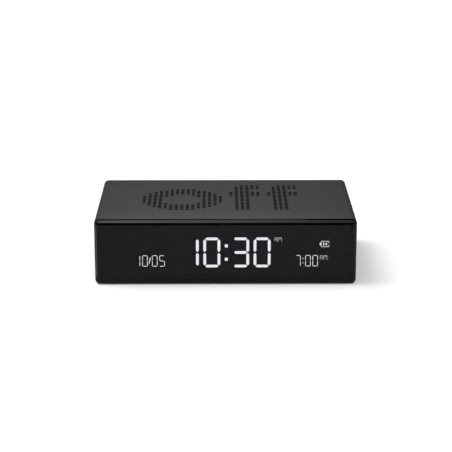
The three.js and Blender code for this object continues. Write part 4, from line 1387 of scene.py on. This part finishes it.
# %% Finish boards and plugs
def masked_board():
    """Green solder mask over tracks that run along the board."""
    material, tree, shader = finish("solder mask on glass laminate", Coat_Weight=0.3, Coat_Roughness=0.2)
    place = add(tree, "ShaderNodeTexCoord").outputs["Object"]
    stood = add(tree, "ShaderNodeMapping", {"Vector": place, "Rotation": (math.pi / 2, 0, 0)})
    tracks = add(tree, "ShaderNodeTexBrick", {
        "Vector": stood, "Scale": 1.0, "Mortar Size": 0.12 * MM, "Mortar Smooth": 0.3,
        "Brick Width": 7.3 * MM, "Row Height": 0.8 * MM}, offset=0.37).outputs["Fac"]
    vary(tree, shader, tracks, ("#15452a", "#2a6b43"), (0.42, 0.3), 0.03 * MM)
    return material


green_board = masked_board()
nylon = grained(
    "natural moulded nylon", ("#d9d5c8", "#e4e1d6"), roughness=(0.42, 0.55), grain=0.6 * MM,
    depth=0.003 * MM, IOR=1.53, Subsurface_Weight=0.1, Subsurface_Scale=0.5 * MM)

# %% [markdown]
# ## Steel, foil, ferrite, paper and wire
# Cold-rolled steel has a fine grain and a soft, broad highlight. The battery's foil is laminated
# aluminium that creases a little when the pouch is drawn, so its sheen breaks up in patches about
# two millimetres wide. Ferrite is sintered, dark and dull like stone. The cone is pressed paper,
# whose fibres scatter nearly all light. The soft PVC of the wires has a waxy gloss.

# %% Mix steel, foil, ferrite, paper and wire
rolled_steel = grained(
    "cold-rolled steel", ("#8b8e92", "#a2a5a9"), roughness=(0.26, 0.4), grain=0.3 * MM,
    depth=0.001 * MM, stretch=(1, 1, 0.1), Metallic=1.0)
battery_foil = grained(
    "laminated aluminium foil", ("#a4a9ae", "#bfc3c7"), roughness=(0.28, 0.42), grain=2.2 * MM,
    depth=0.04 * MM, Metallic=0.9)
ferrite = grained(
    "sintered ferrite", ("#2f2f32", "#434346"), roughness=(0.58, 0.75), grain=0.2 * MM,
    depth=0.01 * MM, IOR=2.0)
cone_paper = grained(
    "pressed cone paper", ("#17171a", "#262629"), roughness=(0.82, 0.95), grain=0.35 * MM,
    depth=0.03 * MM, stretch=(1, 1, 0.4), Specular_IOR_Level=0.2)
red_wire = grained(
    "red soft PVC", ("#a31716", "#b92422"), roughness=(0.34, 0.44), grain=0.5 * MM,
    depth=0.002 * MM, IOR=1.53)
black_wire = grained(
    "black soft PVC", ("#101011", "#191919"), roughness=(0.36, 0.46), grain=0.5 * MM,
    depth=0.002 * MM, IOR=1.53)

# %% [markdown]
# The flat cable is a row of grey wires moulded side by side, one millimetre apart. Waves across it
# give each wire its round back and the darker line between two of them.

# %% Finish the flat cable
def flat_cable():
    """Grey vinyl with a ridge for each wire."""
    material, tree, shader = finish("grey ribbed vinyl", IOR=1.53)
    wire_pitch = 1.0 * MM
    ridges = threads(tree, wire_pitch, "X")
    vary(tree, shader, ridges, ("#6f7174", "#97999c"), (0.55, 0.4), 0.15 * MM)
    return material


# %% [markdown]
# ## Wires and flat cable
# Two wires run from the battery to its plug and one from the speaker to the board. Each leaves and
# arrives square to what it meets, and bends evenly between. A path of four points gives that curve,
# and rings carried along it make the round insulation. A round section swept by hand, rather than
# by a curve object, keeps every ring square to the path and its ends closed.

# %% Draw a wire
wire_radius = 0.6 * MM
wire_reach = 7.0 * MM
wire_spacing = 2.5 * MM


def between(one, two, three, four, share):
    """A point on the smooth curve that four points lead."""
    rest = 1 - share
    near = one * rest ** 3 + two * 3 * rest ** 2 * share
    return near + three * 3 * rest * share ** 2 + four * share ** 3


def tube(start, leaving, end, arriving, steps=40, sides=16):
    """A round wire from start to end, square to both."""
    leads = (start, start + leaving * wire_reach, end - arriving * wire_reach, end)
    path = [between(*leads, step / steps) for step in range(steps + 1)]
    rings = []
    aside = Vector((0, 0, 1))
    turns = [2 * math.pi * side / sides for side in range(sides)]
    for step, place in enumerate(path):
        along = (path[min(step + 1, steps)] - path[max(step - 1, 0)]).normalized()
        aside = (aside - along * aside.dot(along)).normalized()
        other = along.cross(aside)
        rings.append([place + (aside * math.cos(a) + other * math.sin(a)) * wire_radius for a in turns])
    print("wire path in mm:", round(sum((b - a).length for a, b in zip(path, path[1:])) / MM, 1))
    return skin(rings)

# %% Run the wires
pack_low, pack_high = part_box("battery_pack")
pack_middle = middle_of("battery_pack")
plug_middle = middle_of("power_plug")
plug_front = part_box("power_plug")[0].y
lead_y = pack_middle.y + (pack_high.y - pack_low.y) / 4
leftwards, forwards, rearwards = Vector((-1, 0, 0)), Vector((0, -1, 0)), Vector((0, 1, 0))
for name, order, insulation in (("red", 1, red_wire), ("black", -1, black_wire)):
    aside = order * wire_spacing / 2
    start = Vector((pack_low.x - gap, lead_y + aside, pack_middle.z))
    end = Vector((plug_middle.x + aside, plug_front - gap, plug_middle.z))
    keep("wire_" + name, tube(start, leftwards, end, rearwards), insulation,
         replaces=["battery_lead_" + name])

magnet_middle = middle_of("speaker_magnet")
start = Vector((magnet_middle.x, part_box("speaker_magnet")[0].y - gap, magnet_middle.z))
end = Vector((magnet_middle.x, display_back + gap, magnet_middle.z))
keep("wire_speaker", tube(start, forwards, end, forwards), black_wire,
     replaces=["speaker_lead"])

# %% Hang the flat cable
cable_wires, cable_thick, cable_sag = 6, 0.5 * MM, 4.0 * MM


def ribbed_section(wide):
    """The cable's section, (across, up) points with a round back for each wire, above and beneath."""
    points = []
    steps, groove_share = 5, 0.6
    for side in (1, -1):
        for wire in range(cable_wires):
            for step in range(steps):
                share = (wire + (step + 0.5) / steps) / cable_wires
                bulge = groove_share + (1 - groove_share) * math.sin(math.pi * (step + 0.5) / steps)
                points.append((side * (share - 0.5) * wide, -side * bulge * cable_thick / 2))
    return points


def hung_cable():
    """The section carried along one arc between the two plugs."""
    low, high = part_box("board_ribbon")
    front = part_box("display_plug")[1].y + gap
    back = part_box("key_plug")[0].y - gap
    plug = middle_of("display_plug")
    half = (back - front) / 2
    bend = (half ** 2 + cable_sag ** 2) / (2 * cable_sag)
    lean = math.asin(half / bend)
    rings = []
    steps = 32
    for step in range(steps + 1):
        angle = lean * (2 * step / steps - 1)
        rings.append([
            (plug.x + x, (front + back) / 2 + (bend - up) * math.sin(angle),
             plug.z - cable_sag + bend - (bend - up) * math.cos(angle))
            for x, up in ribbed_section(high.x - low.x)])
    return skin(rings)


keep("cable_flat", hung_cable(), flat_cable(), replaces=["board_ribbon"])

# %% [markdown]
# ## Foam and battery
# A thin foam frame seals the display, a foam ring seals the speaker, and a foam pad holds the
# battery off the case. Foam that is cut from sheet has sharp corners in plan and edges that are
# softly pressed in. The battery is a pouch of foil, rounded along its sides, with a flat welded
# seam at the end where the wires come out.

# %% Draw foam that is pressed in at its edges
def foam_frame(low, high, width, radius):
    """A frame of foam across the Y axis, its edges pressed in."""
    soft, least = 0.1 * MM, 0.3 * MM
    middle = (low + high) / 2
    plans = [(soft, low.y), (0.0, low.y + soft), (0.0, high.y - soft), (soft, high.y)]
    plans += [(width - inset, y) for inset, y in reversed(plans)]
    rings = []
    for inset, y in plans:
        outline = rounded(
            high.x - low.x - 2 * inset, high.z - low.z - 2 * inset, max(radius - inset, least))
        rings.append([(x, y, z) for x, z in placed(outline, middle.x, middle.z)])
    return skin(rings, ring_closes=True)


def lying_slab(low, high, radius, soft):
    """A slab between two corners that lies flat, its edges pressed in."""
    middle = (low + high) / 2
    outlines = []
    for inset, z in ((soft, low.z), (0.0, low.z + soft), (0.0, high.z - soft), (soft, high.z)):
        outline = rounded(high.x - low.x - 2 * inset, high.y - low.y - 2 * inset, radius - inset)
        outlines.append((placed(outline, middle.x, middle.y), z))
    return lying(outlines)

# %% Cut the foam
frame_mesh = foam_frame(*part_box("window_gasket"), width=2.0 * MM, radius=edge_radius)
keep("foam_frame", frame_mesh, foam, replaces=["window_gasket"])
pad_mesh = lying_slab(*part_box("battery_pad"), radius=1.0 * MM, soft=0.15 * MM)
pad = keep("foam_pad", pad_mesh, foam, replaces=["battery_pad"])
low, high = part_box("speaker_gasket")
ring_outer = (high.x - low.x) / 2
ring_width, soft = 2.8 * MM, 0.12 * MM
ring_inner = ring_outer - ring_width
ring_profile = [
    (ring_inner, low.z + soft), (ring_inner + soft, low.z), (ring_outer - soft, low.z),
    (ring_outer, low.z + soft), (ring_outer, high.z - soft), (ring_outer - soft, high.z),
    (ring_inner + soft, high.z), (ring_inner, high.z - soft)]
foam_ring = upright(ring_profile, middle_of("speaker_gasket"))
keep("foam_ring", foam_ring, foam, replaces=["speaker_gasket"])

# %% Fill the battery pouch
def pouch():
    """A pouch along the X axis: a welded seam, a shoulder, the full body and a blunt far end."""
    seam_long, seam_thick, crown = 3.0 * MM, 0.5 * MM, 2.4 * MM
    shoulder_long, blunt, most_in = 1.4 * MM, 0.8 * MM, 1.2 * MM
    spare, least = 0.02 * MM, 0.1 * MM
    wide, thick = pack_high.y - pack_low.y, pack_high.z - pack_low.z
    shoulder = (thick - seam_thick) / 2
    plans = [(pack_low.x, shoulder), (pack_low.x + seam_long, shoulder)]
    for cosine, sine in quarter(6)[1:]:
        plans.append((pack_low.x + seam_long + shoulder_long * (1 - cosine), shoulder * (1 - sine)))
    for cosine, sine in quarter(6):
        plans.append((pack_high.x - blunt * (1 - sine), blunt * (1 - cosine)))
    rings = []
    for x, inset in plans:
        side_in = min(inset, most_in)
        radius = max(min(crown, thick / 2 - inset) - spare, least)
        outline = rounded(wide - 2 * side_in, thick - 2 * inset, radius)
        rings.append([(x, y, z) for y, z in placed(outline, pack_middle.y, pack_middle.z)])
    return skin(rings)


keep("battery_pouch", pouch(), battery_foil, replaces=["battery_pack"], angle=40)

# %% [markdown]
# ## The speaker
# A small speaker has a pressed steel basket with punched windows, a ferrite magnet glued to its
# back, and a paper cone in its mouth. Basket and magnet are profiles turned about one axis, as
# they are on the press and in the kiln, and six cutting solids punch the windows.

# %% Draw the basket and the magnet
mouth_radius = ring_inner
mouth_deep = 1.6 * MM
neck_radius = 9.0 * MM
sheet = 0.7 * MM
window_count = 6


def basket_profile():
    """Points of (radius, z) round half the basket: mouth, cone, back and flange."""
    top, back, hole, edge = speaker_high.z, speaker_low.z, 5.4 * MM, 0.12 * MM
    return [
        (mouth_radius, top - edge), (mouth_radius, top - mouth_deep),
        (neck_radius - sheet, back + sheet), (hole, back + sheet), (hole, back), (neck_radius, back),
        (mouth_radius + sheet, top - mouth_deep - sheet / 2), (mouth_radius + sheet, top - sheet),
        (speaker_radius - edge, top - sheet), (speaker_radius, top - sheet + edge),
        (speaker_radius, top - edge), (speaker_radius - edge, top), (mouth_radius + edge, top)]


def basket_window(number):
    """A cutting solid for one window in the basket's cone."""
    turn = 2 * math.pi / window_count
    steps, strut_share, open_share, rim = 8, 0.14, 0.72, 1.0 * MM
    arc = [turn * (number + strut_share + open_share * step / steps) for step in range(steps + 1)]
    inner, outer = neck_radius + rim, mouth_radius - rim
    outline = [(outer * math.cos(a), outer * math.sin(a)) for a in arc]
    outline += [(inner * math.cos(a), inner * math.sin(a)) for a in reversed(arc)]
    ring = placed(outline, speaker_middle.x, speaker_middle.y)
    return lying([(ring, speaker_low.z - over), (ring, speaker_high.z - mouth_deep)])


def magnet_profile():
    """Points of (radius, z) round half the magnet, with the slot for the voice coil."""
    low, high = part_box("speaker_magnet")
    radius = (high.x - low.x) / 2
    edge, slot_in, slot_out, slot_deep = 0.4 * MM, 3.55 * MM, 4.5 * MM, 2.6 * MM
    return [
        (0, low.z), (radius - edge, low.z), (radius, low.z + edge), (radius, high.z - edge),
        (radius - edge, high.z), (slot_out, high.z), (slot_out, high.z - slot_deep),
        (slot_in, high.z - slot_deep), (slot_in, high.z), (0, high.z)]

# %% Press the basket and the magnet
windows = [basket_window(number) for number in range(window_count)]
basket = combined(upright(basket_profile(), speaker_middle), windows, "DIFFERENCE")
keep("steel_basket", basket, rolled_steel, replaces=["speaker_basket"])
magnet = upright(magnet_profile(), speaker_middle)
keep("magnet_ring", magnet, ferrite, replaces=["speaker_magnet"])

# %% [markdown]
# The cone is pressed paper on a voice coil, with a round dust cap in the middle and a soft roll at
# its rim that lets it move. It rides on its own body, because it moves when the alarm sounds.

# %% Turn the cone
def cone_profile():
    """Points of (radius, z) round half the cone: its upper side from the middle out, then back."""
    low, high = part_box("speaker_cone")
    edge = (high.x - low.x) / 2
    coil, drop, paper, roll = 4.2 * MM, 3.0 * MM, 0.35 * MM, 1.6 * MM
    rim_drop, cap_rise, roll_rise, fold = 0.3 * MM, 1.0 * MM, 0.28 * MM, 0.1 * MM
    neck, rim = high.z - drop, high.z - rim_drop
    steps = 8
    upper = [(coil * step / steps, neck + cap_rise * quarter(steps)[step][0]) for step in range(steps)]
    upper += [(coil, neck + fold), (edge - roll, rim)]
    for step in range(1, steps):
        angle = math.pi * step / steps
        upper.append((edge - roll * (1 + math.cos(angle)) / 2, rim + roll_rise * math.sin(angle)))
    upper.append((edge, rim))
    lower = [(r, z - paper) for r, z in reversed(upper) if r > coil + paper]
    lower += [(coil, neck - paper), (coil, low.z), (coil - paper, low.z), (coil - paper, neck - paper)]
    lower += [(r, z - paper) for r, z in reversed(upper) if r < coil - 1.5 * paper]
    return upper + lower


cone = upright(cone_profile(), middle_of("speaker_cone"))
keep("cone_paper", cone, cone_paper, body="speaker_cone", replaces=["speaker_cone"])

# %% [markdown]
# ## Legs and small parts on the boards
# The controller and the charger chip stand on bent tin-plated legs, and rows of small ceramic
# capacitors stand beside them. A leg is one strip bent as a gull's wing. It is turned to each of
# the four sides, and geometry nodes set it out along them, as they do the capacitors. A capacitor
# is a tan block of fired ceramic, dull as a tile, between two bright tinned ends.

# %% Bend the legs
def leg(rise):
    """A bent strip that leaves a chip's side at mid height and lies down on the board."""
    thick, wide, reach, knee_share, foot_share = 0.15 * MM, 0.32 * MM, 1.1 * MM, 0.35, 0.5
    bends = [(0, rise), (reach * knee_share, rise), (reach * foot_share, thick), (reach, thick)]
    strip = bends + [(out, y - thick) for out, y in reversed(bends)]
    return lying([(strip, -wide / 2), (strip, wide / 2)])


def chip_legs(node, back_of_board, count, pitch):
    """Meshes of legs round the four sides of a chip."""
    low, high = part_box(node)
    middle = (low + high) / 2
    rise = (high.y - low.y) / 2 + low.y - back_of_board
    made = []
    for side in range(4):
        one = leg(rise)
        one.transform(Matrix.Rotation(side * math.pi / 2, 4, "Y"))
        turn = Matrix.Rotation(side * math.pi / 2, 3, "Y")
        outwards = turn @ Vector(((high.x - low.x) / 2, 0, 0))
        sideways = turn @ Vector((0, 0, 1))
        start = Vector((middle.x, back_of_board, middle.z)) + outwards
        spots = [start + sideways * (i - (count - 1) / 2) * pitch for i in range(count)]
        made.append(copies(one, spots, tin_plate))
    return made


def joined(meshes):
    """One mesh that holds all of the meshes."""
    bm = bmesh.new()
    for mesh in meshes:
        bm.from_mesh(mesh)
    result = bpy.data.meshes.new("joined")
    bm.to_mesh(result)
    bm.free()
    return result


leg_pitch = 0.65 * MM
legs = chip_legs("controller_chip", display_back, 12, leg_pitch)
legs += chip_legs("charger_chip", board_high.y, 3, leg_pitch)
keep("chip_legs", joined(legs), tin_plate)

# %% Set out the capacitors
ceramic = grained(
    "fired ceramic", ("#8c6b4c", "#a07d5b"), roughness=(0.5, 0.62), grain=0.1 * MM,
    depth=0.002 * MM)
chip_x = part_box("controller_chip")[0].x
in_row, clear_of_chip, columns_apart, rows_apart = 4, 4, 2.2, 3.1    # a count, then mm
capacitor_places = [
    (chip_x - (clear_of_chip + columns_apart * (i % in_row)) * MM, display_back,
     middle_z + (i // in_row - (in_row - 1) / 2) * rows_apart * MM)
    for i in range(in_row ** 2)]
body_mesh = soft_slab(
    wide=1.0 * MM, high=0.8 * MM, radius=0.1 * MM, front=0.02 * MM, back=0.75 * MM, edge=0.08 * MM)
keep("capacitor_bodies", copies(body_mesh, capacitor_places, ceramic), ceramic)
end_mesh = soft_slab(
    wide=0.36 * MM, high=0.86 * MM, radius=0.1 * MM, front=0.01 * MM, back=0.79 * MM, edge=0.08 * MM)
end_out = 0.55 * MM
end_places = [(x + side * end_out, y, z) for x, y, z in capacitor_places for side in (-1, 1)]
keep("capacitor_ends", copies(end_mesh, end_places, tin_plate), tin_plate)

# %% [markdown]
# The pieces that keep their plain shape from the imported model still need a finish. The model says
# which material slot each one has, so a table from slot to finish serves them all.

# %% Give every other piece its finish
SLOT_FINISHES = {
    "matt_black": spark_abs, "display_glass": cell_glass, "clear_acrylic": guide_acrylic,
    "white_film": white_film, "soft_rubber": foam, "circuit_board": green_board,
    "chip_resin": chip_resin, "tin_plate": tin_plate, "nylon": nylon, "steel": rolled_steel}
for part in frame["record"]["subparts"]:
    node = frame["nodes"][part["node"]]
    if not node.hide_render:
        for place in node.material_slots:
            place.material = SLOT_FINISHES[part["material_slot"]]
        print(part["node"], "is finished as", SLOT_FINISHES[part["material_slot"]].name)

# %% [markdown]
# ## Finish
# The last line prints the box that the visible pieces fill, without the floor and the cards.

# %% Note the sizes and finish
low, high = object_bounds()
print("visual box in mm:", [round(v / MM, 2) for v in (*low, *high)])
